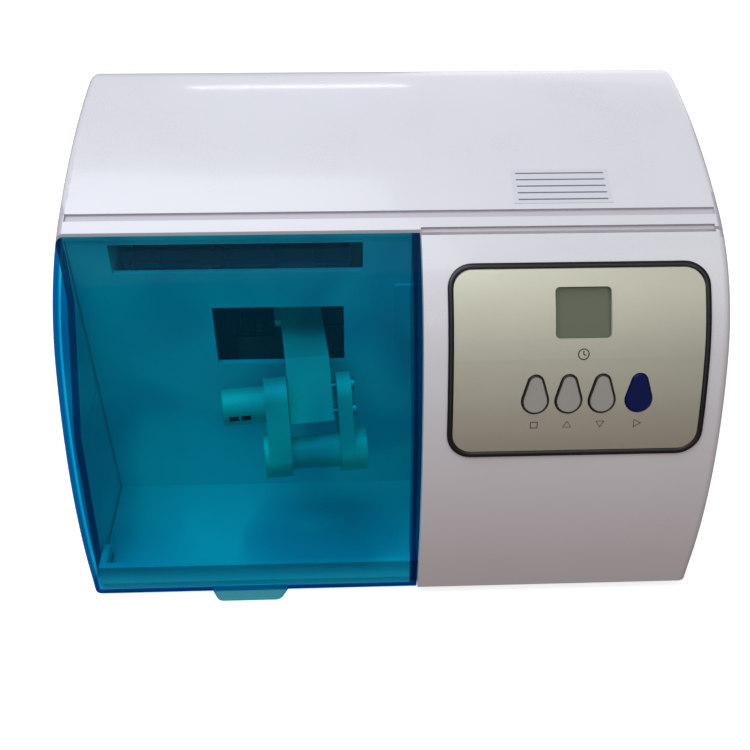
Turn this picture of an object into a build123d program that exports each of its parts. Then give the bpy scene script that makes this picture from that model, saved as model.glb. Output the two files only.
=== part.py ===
from build123d import *
from functools import lru_cache
from math import cos, degrees, hypot, pi, radians, sin, sqrt
import os

# Dental amalgamator: a bench-top mixer that shakes a capsule inside a lidded chamber.
# Millimetres. +X is the right-hand side, +Y the back, +Z up. The origin is the middle of
# the footprint, on the surface that the rubber feet stand on.

# ---------------------------------------------------------------- driving dimensions
case_width = 215.0
wall = 2.5                    # moulded case walls
foot_height = 4.0
seam_gap = 0.4                # between case mouldings
fit_gap = 0.3                 # between pieces that seat on each other
run_gap = 0.05                # radial, shaft or pin in its bore
slide_gap = 0.1               # radial, keys and slides

# side profile of the case: an upright front, three rising arcs and a rounded back corner
front_rise = 12.0
belly_radius = 180.0
belly_turn = 26.0
brow_radius = 68.0
brow_turn = 42.0
roof_radius = 240.0
roof_turn = 17.0
back_radius = 14.0
edge_radius = 3.0             # rounding of the long side edges

# seams between base, cover, fascia and lid
base_height = 58.0            # top of the base tray above the case bottom
lid_top_run = 135.5           # up the front surface, from the bottom edge to the lid's top edge
lid_gap = 1.2                 # along the surface, between lid and cover
seam_foot = 7.5               # seam depth behind the front, at the bottom
seam_waist = 19.5             # and where the base tray ends
shoulder_setback = 2.6        # seam shoulder in front of the cover's edge
shoulder_drop = 24.0          # and below it

# lid
lid_right = 8.4               # right-hand edge of the lid
lid_lift = 0.8                # lid's bottom edge above the case bottom
tab_width = 28.0
tab_reach = 4.6
tab_thickness = 3.0
tab_shift = -1.95             # finger tab's middle, from the lid's middle
hinge_setback = 12.9          # hinge axis behind the cover's front edge
hinge_drop = 2.7              # and below its outer corner
hinge_pin_radius = 1.5
barrel_radius = 3.4
tongue_left_room = 20.0       # tongue's left edge, from the left side of the case
tongue_right_room = 22.4      # its right edge, from the lid's right-hand edge
tongue_thickness = 2.0

# mixing chamber
liner_wall = 2.2
chamber_floor = 5.5           # above the case bottom
curb_thickness = 2.3          # curb on the base behind the lid's bottom edge
curb_height = 11.4
slot_side_room = 4.3          # beside the tongue
slot_top_drop = 4.7           # slot's upper edge below the cover's corner
window_left_room = 27.0       # arm window, left of the hub
window_right_room = 17.7
window_drop = 9.0             # below the shaft
window_rise = 15.3
ear_thickness = 3.5
boss_width = 7.0              # sensor boss on the chamber's back wall
boss_bottom = 76.0
boss_top = 100.0
boss_height = 0.8

# drive line
shaft_radius = 4.0
shaft_setback = 85.0          # behind the front of the case
shaft_rise = 76.0             # above the case bottom
hub_x = -34.0
swash_angle = 6.0             # tilt of the swash collar, half the arm's swing
collar_radius = 8.0
collar_length = 16.0
swash_bearing_radius = 12.0
swash_bearing_width = 10.0
bearing_radius = 9.5
bearing_width = 6.0
drive_side_room = 14.5        # from the fan to the right side of the case
motor_radius = 27.0
motor_length = 60.0
motor_can_wall = 2.5
bell_length = 9.0
armature_radius = 19.0
armature_length = 30.0
commutator_radius = 9.0
commutator_length = 10.0
fan_radius = 22.0
fan_width = 7.0
fan_blades = 9
plate = 3.0                   # cradle sheet
cradle_rise = 12.0            # isolator height
cradle_half_depth = 27.0      # in front of and behind the shaft
cradle_left_reach = 30.0      # left of the hub
cradle_right_reach = 8.0      # right of the motor can
isolator_inset_x = 10.0
isolator_inset_y = 8.0
isolator_radius = 7.0

# swing arm and capsule holder; setbacks are behind the front of the case, with the arm straight ahead
arm_width = 15.0
arm_thickness = 2.5
bend_setback = 38.0
head_setback = 23.4           # tip of the arm head
head_drop = 17.0              # bend to tip, downward
head_thickness = 8.0
hub_outer_radius = 17.0
hub_width = 14.0
flare = 2.1                   # extra width of the arm next to the hub, left side
flare_reach = 25.0
capsule_radius = 6.0
capsule_length = 27.6
capsule_setback = 22.0
capsule_drop = 28.0           # below the shaft
capsule_shift = 0.5           # capsule's middle, right of the arm's middle
cup_radius = 7.8
cup_wall = 3.7                # behind the capsule's end
jaw_thickness = 7.6
fixed_jaw_thickness = 4.7
jaw_top_radius = 7.4
rod_radius = 1.25
rod_spacing = 8.7
knob_radius = 6.35
knob_length = 14.5
knob_wall = 2.0
jaw_travel = 6.0

# control panel
panel_left_margin = 8.05      # from the lid's right-hand edge
panel_right_margin = 7.15     # from the right side of the case
panel_low_run = 60.4
panel_top_margin = 11.0       # below the lid's top edge
panel_corner = 8.0
border_width = 1.8
film = 0.5
lcd_shift = 1.1               # window's middle, right of the panel's middle
lcd_top_margin = 7.95         # below the panel's top edge
lcd_width = 18.0
lcd_height = 16.3
module_border_x = 4.5         # display module around the window
module_border_y = 4.85
button_rise = 21.7            # button row above the panel's lower edge
button_width = 8.5
button_height = 12.8
button_tip_radius = 2.5
button_pitch = 10.8
first_button_shift = -13.8    # from the panel's middle
start_gap = 12.0              # from the third button to the start button
button_proud = 0.9
button_travel = 0.8
button_clearance = 0.35
stem_radius = 1.5
board_depth = 11.0            # control board behind the button surface
board_thickness = 1.6
board_height = 34.0
board_side_room = 4.6         # between the board and the side wall
board_screw_inset_x = 4.0
board_screw_inset_y = 3.5

# back of the case
inlet_side_room = 47.5        # inlet's middle, from the left side of the case
switch_step = 38.0            # from the inlet to the switch
fuse_step = 28.0              # and on to the fuse
rear_row = 32.0               # height of inlet, switch and fuse above the case bottom
inlet_width = 27.0
inlet_height = 20.0
inlet_depth = 16.0
flange = 1.6
inlet_wall = 1.7
switch_width = 21.0
switch_height = 15.0
switch_depth = 12.0
rocker_width = 16.4
rocker_swing = 24.0
fuse_radius = 6.0
fuse_cap_reach = 3.4
vent_count = 9
vent_pitch = 6.0
vent_length = 32.0
vent_width = 3.0
vent_side_room = 52.5         # middle of the slots, from the right side
vent_rise = 92.0

screw_radius = 1.5
screw_head_radius = 2.8
board_screw_radius = 1.0
post_radius = 4.5
post_side_room = 9.1          # case screw posts, from the sides
post_setback = 63.0
post_back_room = 12.0
fascia_post_left = 17.6       # from the lid's right-hand edge
fascia_post_right = 41.5      # from the right side of the case
fascia_post_setback = 17.0
foot_side_room = 23.5
foot_setback = 17.0
foot_back_room = 16.0
power_left_room = 11.6        # power board, from the lid's right-hand edge
power_right_room = 7.5        # and from the right side of the case
power_front = 24.0
power_back = 54.0
standoff_inset = 4.0
foot_radius = 8.0
foot_stud_radius = 2.5

# ---------------------------------------------------------------- the case surface
roof_end = 90 - belly_turn - brow_turn - roof_turn
bends = (
    (belly_radius, belly_turn),
    (brow_radius, brow_turn),
    (roof_radius, roof_turn),
    (back_radius, 90 + roof_end),
)


def walk(run):
    """Depth, height and slope of the outer surface, `run` mm up from the bottom front edge."""
    y, z, slope = 0.0, min(run, front_rise), 90.0
    left = run - front_rise
    for radius, turn in bends:
        if left <= 0:
            break
        part_turn = min(degrees(left / radius), turn)
        centre_y = y + radius * sin(radians(slope))
        centre_z = z - radius * cos(radians(slope))
        slope -= part_turn
        y = centre_y - radius * sin(radians(slope))
        z = centre_z + radius * cos(radians(slope))
        left -= radius * radians(turn)
    return y, z, slope


full_run = front_rise + sum(radius * radians(turn) for radius, turn in bends)
case_depth = walk(full_run)[0]
rear_reach = flange + fuse_cap_reach
half_width = case_width / 2
fascia_left = lid_right + seam_gap
panel_left = lid_right + panel_left_margin
panel_right = half_width - panel_right_margin
panel_width = panel_right - panel_left
panel_centre_x = (panel_left + panel_right) / 2
panel_high_run = lid_top_run - panel_top_margin
lcd_x = panel_centre_x + lcd_shift
lcd_run = panel_high_run - lcd_top_margin - lcd_height / 2
button_run = panel_low_run + button_rise
tongue_left = -half_width + tongue_left_room
tongue_right = lid_right - tongue_right_room
inlet_x = -half_width + inlet_side_room
switch_x = inlet_x + switch_step
fuse_x = switch_x + fuse_step
fan_gap = 1.0                 # between the end bell and the fan
motor_face_x = half_width - drive_side_room - fan_width - fan_gap - bell_length - motor_length
cradle_left_x = hub_x - cradle_left_reach
cradle_right_x = motor_face_x + motor_length + cradle_right_reach
case_bottom = foot_height
front_y = -(case_depth + rear_reach - tab_reach) / 2
back_y = front_y + case_depth
base_top = case_bottom + base_height
sky = case_bottom + 200.0     # above everything, for cutters


def surface_plane(run, x, depth=0.0):
    """Plane on the case surface: local x across, y up the slope, z outward."""
    y, z, slope = walk(run)
    inward = Vector(0, sin(radians(slope)), -cos(radians(slope)))
    origin = Vector(x, front_y + y, case_bottom + z) + inward * depth
    return Plane(origin=origin, x_dir=(1, 0, 0), z_dir=-inward)


def profile_prism(inset, x_low, x_high, floor):
    """The case profile moved inward by `inset`, as a prism between two X positions."""
    with BuildPart() as prism:
        with BuildSketch(Plane.YZ.offset(x_low)):
            with BuildLine():
                front = Line((front_y + inset, floor), (front_y + inset, case_bottom + front_rise))
                belly = JernArc(front @ 1, front % 1, belly_radius - inset, -belly_turn)
                brow = JernArc(belly @ 1, belly % 1, brow_radius - inset, -brow_turn)
                roof = JernArc(brow @ 1, brow % 1, roof_radius - inset, -roof_turn)
                corner = JernArc(roof @ 1, roof % 1, back_radius - inset, -90 - roof_end)
                Polyline(corner @ 1, (back_y - inset, floor), (front_y + inset, floor))
            make_face()
        extrude(amount=x_high - x_low)
    return prism.part


@lru_cache(maxsize=None)
def case_block(inset, floor):
    """The whole case body, `inset` inside the outer surface, with its side edges rounded."""
    reach = half_width - inset
    with BuildPart() as block:
        add(profile_prism(inset, -reach, reach, floor))
        sides = block.faces().filter_by(Axis.X).edges().filter_by_position(Axis.Z, floor + 1, sky)
        if edge_radius - inset > 0.2:
            fillet(sides, edge_radius - inset)
    return block.part


def slab(x_low, x_high, y_low, y_high, z_low, z_high):
    """A box between two corners."""
    with BuildPart() as box:
        with BuildSketch(Plane.XY.offset(z_low)):
            with Locations(((x_low + x_high) / 2, (y_low + y_high) / 2)):
                Rectangle(x_high - x_low, y_high - y_low)
        extrude(amount=z_high - z_low)
    return box.part


def rod(start, axis, radius, length):
    """A round bar from `start` along `axis`."""
    with BuildPart() as bar:
        with BuildSketch(Plane(origin=start, z_dir=axis)):
            Circle(radius)
        extrude(amount=length)
    return bar.part


def shell_between(outer, inner, box):
    """The layer of the case between two insets, kept inside a box."""
    with BuildPart() as layer:
        add(case_block(outer, case_bottom))
        add(case_block(inner, case_bottom), mode=Mode.SUBTRACT)
        add(box, mode=Mode.INTERSECT)
    return layer.part


def save(part, name):
    part.label = name
    export_step(part, f"parts/{name}.step")


# ---------------------------------------------------------------- seams and the lid hinge axis
lid_edge_y, lid_edge_z, lid_edge_slope = walk(lid_top_run)
cover_edge_y, cover_edge_z, cover_edge_slope = walk(lid_top_run + lid_gap)
hinge_y = front_y + cover_edge_y + hinge_setback
hinge_z = case_bottom + cover_edge_z - hinge_drop
lid_sweep_radius = hypot(front_y + lid_edge_y - hinge_y, case_bottom + lid_edge_z - hinge_z)
shoulder_y = front_y + cover_edge_y - shoulder_setback
shoulder_z = case_bottom + cover_edge_z - shoulder_drop
seam_top_y = front_y + cover_edge_y - seam_gap
chamber_back = front_y + cover_edge_y + seam_gap
liner_back = chamber_back + liner_wall


def front_zone(gap, x_low=-case_width, x_high=case_width):
    """What lies in front of the seam: the lid on the left, the fascia on the right."""
    far_front = front_y - 40
    with BuildPart() as zone:
        with BuildSketch(Plane.YZ.offset(x_low)):
            with BuildLine():
                Polyline(
                    (front_y + seam_foot + gap, case_bottom - 1),
                    (front_y + seam_waist + gap, base_top),
                    (shoulder_y + gap, shoulder_z),
                    (seam_top_y + gap, hinge_z - 2),
                    (seam_top_y + gap, sky),
                    (far_front, sky),
                    (far_front, case_bottom - 1),
                    close=True,
                )
            make_face()
        extrude(amount=x_high - x_low)
    return zone.part


def hinge_cylinder(radius, x_low=-case_width, x_high=case_width):
    return rod((x_low, hinge_y, hinge_z), (1, 0, 0), radius, x_high - x_low)


os.makedirs("parts", exist_ok=True)

# ---------------------------------------------------------------- base tray
floor_top = case_bottom + wall
curb_inset = wall + seam_gap
curb_back = curb_inset + curb_thickness
hub_y = front_y + shaft_setback
hub_z = case_bottom + shaft_rise
power_left = lid_right + power_left_room
power_right = half_width - power_right_room


def corners(x_low, x_high, y_low, y_high):
    """The four corners of a rectangle."""
    return [(x, y) for x in (x_low, x_high) for y in (y_low, y_high)]


post_x = half_width - post_side_room
post_spots = corners(-post_x, post_x, front_y + post_setback, back_y - post_back_room)
fascia_post_y = front_y + fascia_post_setback
fascia_post_spots = [
    (lid_right + fascia_post_left, fascia_post_y),
    (half_width - fascia_post_right, fascia_post_y),
]
isolator_y = cradle_half_depth - isolator_inset_y
isolator_spots = corners(cradle_left_x + isolator_inset_x, cradle_right_x - isolator_inset_x,
                         hub_y - isolator_y, hub_y + isolator_y)
foot_x = half_width - foot_side_room
foot_spots = corners(-foot_x, foot_x, front_y + foot_setback, back_y - foot_back_room)
standoff_spots = corners(power_left + standoff_inset, power_right - standoff_inset,
                         front_y + power_front + standoff_inset, front_y + power_back - standoff_inset)
standoff_top = floor_top + 5.5
rim_low = base_top - 8.0
rim_high = base_top + 3.0
rim_front = liner_back + 6.0
fascia_post_top = case_bottom + 10.0
rear_z = case_bottom + rear_row


def curb_zone(extra):
    """Room of the curb behind the lid's bottom edge, grown by `extra`."""
    box = slab(-case_width, case_width, front_y, front_y + 14 + extra, case_bottom,
               case_bottom + curb_height + extra)
    return shell_between(curb_inset - extra, curb_back + extra, box)


def wall_opening(x, width, height):
    """A rectangular cutter through the back wall."""
    return slab(x - width / 2, x + width / 2, back_y - wall - 1, back_y + 1,
                rear_z - height / 2, rear_z + height / 2)


with BuildPart() as base_tray:
    add(case_block(0, case_bottom))
    add(case_block(wall, floor_top), mode=Mode.SUBTRACT)
    below_cover = slab(-case_width, case_width, front_y - 50, back_y + 50, case_bottom - 1, base_top)
    add(below_cover, mode=Mode.INTERSECT)
    add(front_zone(seam_gap), mode=Mode.SUBTRACT)
    # floor under the chamber and the fascia, and the curb behind the lid's bottom edge
    front_floor = slab(-case_width, case_width, front_y, front_y + 45, case_bottom, floor_top)
    add(shell_between(curb_inset, 60, front_floor))
    add(curb_zone(0))
    # inner rim that locates the cover, along the sides and the back
    add(shell_between(curb_inset, curb_inset + 1.4, slab(-case_width, case_width, rim_front, back_y + 5,
                                                         rim_low, rim_high)))
    add(shell_between(wall - 0.3, curb_inset + 0.2, slab(-case_width, case_width, rim_front, back_y + 5,
                                                         rim_low, base_top)))
    for x, y in post_spots:
        add(slab(x - 12, x + 12, y - post_radius - fit_gap, y + post_radius + fit_gap, base_top, rim_high + 1),
            mode=Mode.SUBTRACT)
    # screw posts for cover and fascia, and standoffs for the power board
    with BuildSketch(Plane.XY.offset(case_bottom + 1)):
        with Locations(*post_spots):
            Circle(post_radius)
    extrude(amount=base_height - 1)
    with BuildSketch(Plane.XY.offset(case_bottom + 1)):
        with Locations(*fascia_post_spots):
            Circle(post_radius)
    extrude(amount=fascia_post_top - case_bottom - 1)
    with BuildSketch(Plane.XY.offset(case_bottom + 1)):
        with Locations(*standoff_spots):
            Circle(3.0)
    extrude(amount=standoff_top - case_bottom - 1)
    # holes through the posts with deep counterbores from below
    with BuildSketch(Plane.XY.offset(case_bottom)):
        with Locations(*post_spots, *fascia_post_spots):
            Circle(screw_radius + 0.2)
    extrude(amount=sky, mode=Mode.SUBTRACT)
    with BuildSketch(Plane.XY.offset(case_bottom)):
        with Locations(*post_spots):
            Circle(screw_head_radius + 0.4)
    extrude(amount=base_height - 12, mode=Mode.SUBTRACT)
    with BuildSketch(Plane.XY.offset(case_bottom)):
        with Locations(*fascia_post_spots):
            Circle(screw_head_radius + 0.4)
    extrude(amount=4.0, mode=Mode.SUBTRACT)
    with BuildSketch(Plane.XY.offset(standoff_top - 6.0)):
        with Locations(*standoff_spots):
            Circle(board_screw_radius)
    extrude(amount=6.0, mode=Mode.SUBTRACT)
    # holes for the isolator bolts and the feet
    with BuildSketch(Plane.XY.offset(case_bottom)):
        with Locations(*isolator_spots):
            Circle(screw_radius + 0.2)
        with Locations(*foot_spots):
            Circle(foot_stud_radius + slide_gap)
    extrude(amount=wall, mode=Mode.SUBTRACT)
    # cut-outs in the back wall
    add(wall_opening(inlet_x, inlet_width + 2 * slide_gap, inlet_height + 2 * slide_gap), mode=Mode.SUBTRACT)
    add(wall_opening(switch_x, switch_width + 2 * slide_gap, switch_height + 2 * slide_gap), mode=Mode.SUBTRACT)
    add(rod((fuse_x, back_y + 1, rear_z), (0, -1, 0), fuse_radius + slide_gap, wall + 2), mode=Mode.SUBTRACT)
save(base_tray.part, "base_tray")

# ---------------------------------------------------------------- top cover
cover_bottom = base_top + seam_gap
above_base = slab(-case_width, case_width, front_y - 50, back_y + 50, cover_bottom, sky)
groove_run = lid_top_run + 7.2    # middle of the long groove
seam_groove_run = lid_top_run + lid_gap / 2
groove_width = 2.9
groove_depth = 0.9
groove_inset = 2.5            # long groove ends short of the sides
seam_groove_inset = 3.4       # and so does the groove along the fascia's top edge
seam_groove_right = half_width - seam_groove_inset

with BuildPart() as seam_groove:
    groove_middle = (fascia_left + seam_groove_right) / 2
    with BuildSketch(surface_plane(seam_groove_run, groove_middle, groove_depth)):
        Rectangle(seam_groove_right - fascia_left, groove_width)
    extrude(amount=5)

with BuildPart() as top_cover:
    add(case_block(0, case_bottom))
    add(case_block(wall, case_bottom - 5), mode=Mode.SUBTRACT)
    add(above_base, mode=Mode.INTERSECT)
    add(front_zone(seam_gap), mode=Mode.SUBTRACT)
    # lip under the fascia's top edge, which closes the seam there
    lip_z = case_bottom + cover_edge_z - 12
    lip_left = lid_right + 6
    lip_right = half_width - wall - 1
    forward_lip = slab(lip_left, lip_right, seam_top_y - 2.6, seam_top_y + 4, lip_z, sky)
    add(shell_between(wall + 0.15, wall + 1.4, forward_lip))
    lip_root = slab(lip_left, lip_right, seam_top_y + seam_gap + 0.3, seam_top_y + 4, lip_z, sky)
    add(shell_between(wall - 0.3, wall + 0.5, lip_root))
    # bosses on the side walls that take the case screws
    for x, y in post_spots:
        side = 1 if x > 0 else -1
        edge = half_width - wall + 0.5
        low_x = min(x - side * post_radius, side * edge)
        high_x = max(x - side * post_radius, side * edge)
        add(slab(low_x, high_x, y - post_radius, y + post_radius, base_top, base_top + 12))
    with BuildSketch(Plane.XY.offset(base_top)):
        with Locations(*post_spots):
            Circle(screw_radius)
    extrude(amount=9, mode=Mode.SUBTRACT)
    # the long groove across the brow
    with BuildSketch(surface_plane(groove_run, 0, groove_depth)):
        Rectangle(2 * (half_width - groove_inset), groove_width)
    extrude(amount=5, mode=Mode.SUBTRACT)
    add(seam_groove.part, mode=Mode.SUBTRACT)
    # cooling slots in the back
    with BuildSketch(Plane.XZ.offset(-back_y - 1)):
        with Locations((half_width - vent_side_room, case_bottom + vent_rise)):
            with GridLocations(vent_pitch, 1, vent_count, 1):
                SlotOverall(vent_length, vent_width, rotation=90)
    extrude(amount=wall + 2, mode=Mode.SUBTRACT)
save(top_cover.part, "top_cover")

# ---------------------------------------------------------------- front fascia
button_xs = [panel_centre_x + first_button_shift + i * button_pitch for i in range(3)]
button_xs.append(button_xs[2] + start_gap)
panel_low = surface_plane(panel_low_run, panel_centre_x).origin
panel_high = surface_plane(panel_high_run, panel_centre_x).origin
panel_up = (panel_high - panel_low).normalized()
panel_out = Vector(1, 0, 0).cross(panel_up)
panel_chord = (panel_high - panel_low).length
panel_plane = Plane(origin=(panel_low + panel_high) * 0.5, x_dir=(1, 0, 0), z_dir=panel_out)
board_plane = surface_plane(button_run, panel_centre_x, board_depth)
board_width = 2 * (half_width - wall - board_side_room - panel_centre_x)
board_screw_x = board_width / 2 - board_screw_inset_x
board_screw_y = board_height / 2 - board_screw_inset_y
board_screw_spots = corners(-board_screw_x, board_screw_x, -board_screw_y, board_screw_y)


def egg(extra):
    """Outline of a button, wide end down, grown by `extra`."""
    base_radius = button_width / 2
    with BuildSketch(mode=Mode.PRIVATE) as outline:
        with Locations((0, base_radius - button_height / 2)):
            Circle(base_radius + extra)
        with Locations((0, button_height / 2 - button_tip_radius)):
            Circle(button_tip_radius + extra)
        make_hull()
    return outline.sketch


def panel_cutter(depth_low, depth_high):
    """Openings for the window and the four buttons, square to the surface."""
    with BuildPart() as cutter:
        with BuildSketch(surface_plane(lcd_run, lcd_x, depth_high)):
            RectangleRounded(lcd_width, lcd_height, 1.5)
        extrude(amount=depth_high - depth_low)
        for x in button_xs:
            with BuildSketch(surface_plane(button_run, x, depth_high)):
                add(egg(button_clearance))
            extrude(amount=depth_high - depth_low)
    return cutter.part


with BuildPart() as board_posts:
    with BuildSketch(board_plane):
        with Locations(*board_screw_spots):
            Circle(3.0)
    extrude(amount=board_depth + 6)
    add(case_block(wall / 2, case_bottom), mode=Mode.INTERSECT)
    with BuildSketch(board_plane):
        with Locations(*board_screw_spots):
            Circle(board_screw_radius)
    extrude(amount=5, mode=Mode.SUBTRACT)

with BuildPart() as front_fascia:
    add(case_block(0, case_bottom))
    add(case_block(wall, case_bottom - 5), mode=Mode.SUBTRACT)
    add(front_zone(0), mode=Mode.INTERSECT)
    add(hinge_cylinder(lid_sweep_radius), mode=Mode.SUBTRACT)
    add(slab(fascia_left, 200, front_y - 20, back_y, case_bottom, sky), mode=Mode.INTERSECT)
    add(board_posts.part)
    # ledges that the fascia screws pull down on the base
    for x, y in fascia_post_spots:
        add(slab(x - 5, x + 5, front_y + wall - 0.5, y + 5, fascia_post_top, fascia_post_top + 9))
    add(curb_zone(fit_gap), mode=Mode.SUBTRACT)
    with BuildSketch(Plane.XY.offset(fascia_post_top)):
        with Locations(*fascia_post_spots):
            Circle(screw_radius)
    extrude(amount=7, mode=Mode.SUBTRACT)
    add(panel_cutter(-4, wall + 6), mode=Mode.SUBTRACT)
    add(seam_groove.part, mode=Mode.SUBTRACT)
save(front_fascia.part, "front_fascia")

# ---------------------------------------------------------------- chamber liner
liner_floor_top = case_bottom + chamber_floor
liner_right_face = fascia_left + 0.1
slot_left = tongue_left - slot_side_room
slot_right = tongue_right + slot_side_room
slot_top = case_bottom + cover_edge_z - slot_top_drop
tongue_inner = lid_sweep_radius
tongue_outer = tongue_inner + tongue_thickness
# where the tongue's outer face passes the wall's rear face
tongue_exit_drop = sqrt(tongue_outer ** 2 - (hinge_y - liner_back) ** 2)
slot_bottom = hinge_z - tongue_exit_drop - 0.7

with BuildPart() as chamber_liner:
    add(slab(-half_width, liner_right_face + liner_wall, chamber_back, liner_back, floor_top, sky))
    add(slab(-half_width, liner_right_face, front_y, liner_back, floor_top, liner_floor_top))
    add(slab(liner_right_face, liner_right_face + liner_wall, front_y, liner_back, floor_top, sky))
    add(case_block(wall + fit_gap, case_bottom), mode=Mode.INTERSECT)
    add(curb_zone(fit_gap), mode=Mode.SUBTRACT)
    add(slab(slot_left, slot_right, chamber_back - 1, liner_back + 1, slot_bottom, slot_top),
        mode=Mode.SUBTRACT)
    add(slab(hub_x - window_left_room, hub_x + window_right_room, chamber_back - 1, liner_back + 1,
             hub_z - window_drop, hub_z + window_rise), mode=Mode.SUBTRACT)
    add(slab(liner_right_face - boss_width - 1, liner_right_face - 1, chamber_back - boss_height, chamber_back,
             case_bottom + boss_bottom, case_bottom + boss_top))
    # ears behind the wall that hold the hinge pin
    for x in (slot_left - ear_thickness, slot_right):
        with BuildSketch(Plane.YZ.offset(x)):
            with Locations((hinge_y, hinge_z)):
                Circle(barrel_radius + 0.6)
            with Locations((liner_back, slot_bottom - 6), (liner_back, hinge_z - 2)):
                Circle(1.5)
            make_hull()
        extrude(amount=ear_thickness)
    add(hinge_cylinder(hinge_pin_radius + run_gap), mode=Mode.SUBTRACT)
save(chamber_liner.part, "chamber_liner")

# ---------------------------------------------------------------- lid with its hinge tongue
lid_bottom = case_bottom + lid_lift
cheek_bottom = case_bottom + curb_height + fit_gap
tab_centre = (lid_right - half_width) / 2 + tab_shift
tongue_start = 178.0          # angles about the hinge axis, from +Y towards +Z
tongue_end = 290.0
web_y = cos(radians(tongue_end))
web_z = sin(radians(tongue_end))
web_middle = (barrel_radius + tongue_outer) / 2 - 1

with BuildPart() as tongue:
    with BuildSketch(Plane.YZ.offset(tongue_left)):
        with BuildLine():
            inner_arc = CenterArc((hinge_y, hinge_z), tongue_inner, tongue_start, tongue_end - tongue_start)
            outer_arc = CenterArc((hinge_y, hinge_z), tongue_outer, tongue_start, tongue_end - tongue_start)
            Line(inner_arc @ 0, outer_arc @ 0)
            Line(inner_arc @ 1, outer_arc @ 1)
        make_face()
        with Locations(Location((hinge_y + web_y * web_middle, hinge_z + web_z * web_middle), tongue_end)):
            Rectangle(tongue_outer - barrel_radius + 1, tongue_thickness)
        with Locations((hinge_y, hinge_z)):
            Circle(barrel_radius)
    extrude(amount=tongue_right - tongue_left)

with BuildPart() as lid:
    add(case_block(0, case_bottom))
    add(case_block(wall, case_bottom - 5), mode=Mode.SUBTRACT)
    add(slab(-case_width, lid_right, front_y - 20, back_y, lid_bottom, sky), mode=Mode.INTERSECT)
    add(profile_prism(0, lid_right - wall, lid_right, cheek_bottom))
    add(front_zone(0), mode=Mode.INTERSECT)
    add(hinge_cylinder(lid_sweep_radius), mode=Mode.SUBTRACT)
    # finger tab
    with BuildSketch(Plane.XY.offset(lid_bottom)):
        with BuildLine():
            Polyline(
                (tab_centre - tab_width / 2, front_y + 1),
                (tab_centre - tab_width / 2 + 3, front_y - tab_reach),
                (tab_centre + tab_width / 2 - 3, front_y - tab_reach),
                (tab_centre + tab_width / 2, front_y + 1),
                close=True,
            )
        make_face()
    extrude(amount=tab_thickness)
    tab_corners = lid.edges().filter_by(Axis.Z).filter_by_position(Axis.Y, front_y - tab_reach - 1, front_y - 1)
    fillet(tab_corners, 3.0)
    add(tongue.part)
    add(hinge_cylinder(hinge_pin_radius + run_gap), mode=Mode.SUBTRACT)
save(lid.part, "lid")

pin_overhang = 1.0
pin_start = slot_left - ear_thickness - pin_overhang
pin_length = slot_right + ear_thickness + pin_overhang - pin_start
with BuildPart() as lid_hinge_pin:
    add(rod((pin_start, hinge_y, hinge_z), (1, 0, 0), hinge_pin_radius, pin_length))
    chamfer(lid_hinge_pin.edges(), 0.3)
save(lid_hinge_pin.part, "lid_hinge_pin")

# ---------------------------------------------------------------- interlock switch behind the slot
switch_body_x = tongue_left + 12.5
micro_length = 20.0
micro_depth = 6.4
micro_height = 10.0
micro_top = hinge_z - tongue_outer - fit_gap
plunger_radius = 0.9
plunger_y = liner_back + 2.6
plunger_reach = hinge_y - plunger_y - plunger_radius
plunger_top = hinge_z - sqrt(tongue_outer ** 2 - plunger_reach ** 2) - fit_gap

with BuildPart() as interlock_switch:
    add(slab(switch_body_x - micro_length / 2, switch_body_x + micro_length / 2,
             liner_back, liner_back + micro_depth, micro_top - micro_height, micro_top))
    add(rod((switch_body_x - 4, plunger_y, micro_top - 1), (0, 0, 1), plunger_radius,
            plunger_top - micro_top + 1))
    for x in (-7.5, 0.0, 7.5):
        add(slab(switch_body_x + x - 1.2, switch_body_x + x + 1.2, liner_back + 2.8, liner_back + 3.4,
                 micro_top - micro_height - 5, micro_top - micro_height + 1))
save(interlock_switch.part, "interlock_switch")

# ---------------------------------------------------------------- panel film, border and window
def panel_prism(shrink):
    """The panel's rounded outline, moved in by `shrink`, as a deep prism."""
    with BuildPart() as prism:
        with BuildSketch(panel_plane.offset(-20)):
            RectangleRounded(panel_width - 2 * shrink, panel_chord - 2 * shrink, panel_corner - shrink)
        extrude(amount=40)
    return prism.part


with BuildPart() as panel_overlay:
    add(panel_prism(border_width))
    add(case_block(-film - run_gap, case_bottom), mode=Mode.INTERSECT)
    add(case_block(-run_gap, case_bottom - 5), mode=Mode.SUBTRACT)
    add(panel_cutter(-4, 4), mode=Mode.SUBTRACT)
save(panel_overlay.part, "panel_overlay")

with BuildPart() as panel_border:
    add(panel_prism(0))
    add(panel_prism(border_width), mode=Mode.SUBTRACT)
    add(case_block(-film - 0.15, case_bottom), mode=Mode.INTERSECT)
    add(case_block(-run_gap, case_bottom - 5), mode=Mode.SUBTRACT)
save(panel_border.part, "panel_border")

pane_depth = 0.7
pane_thickness = 1.2
with BuildPart() as lcd_window:
    with BuildSketch(surface_plane(lcd_run, lcd_x, pane_depth + pane_thickness)):
        RectangleRounded(lcd_width - 2 * run_gap, lcd_height - 2 * run_gap, 1.5 - run_gap)
    extrude(amount=pane_thickness)
save(lcd_window.part, "lcd_window")

display_depth = pane_depth + pane_thickness + 0.1
module_depth = display_depth + 2.2
module_thickness = 3.8
with BuildPart() as lcd_module:
    with BuildSketch(surface_plane(lcd_run, lcd_x, module_depth + 0.5)):
        RectangleRounded(lcd_width - 2 * fit_gap, lcd_height - 2 * fit_gap, 1.2)
    extrude(amount=module_depth + 0.5 - display_depth)
    with BuildSketch(surface_plane(lcd_run, lcd_x, module_depth + module_thickness)):
        Rectangle(lcd_width + 2 * module_border_x, lcd_height + 2 * module_border_y)
    extrude(amount=module_thickness)
save(lcd_module.part, "lcd_module")

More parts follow.
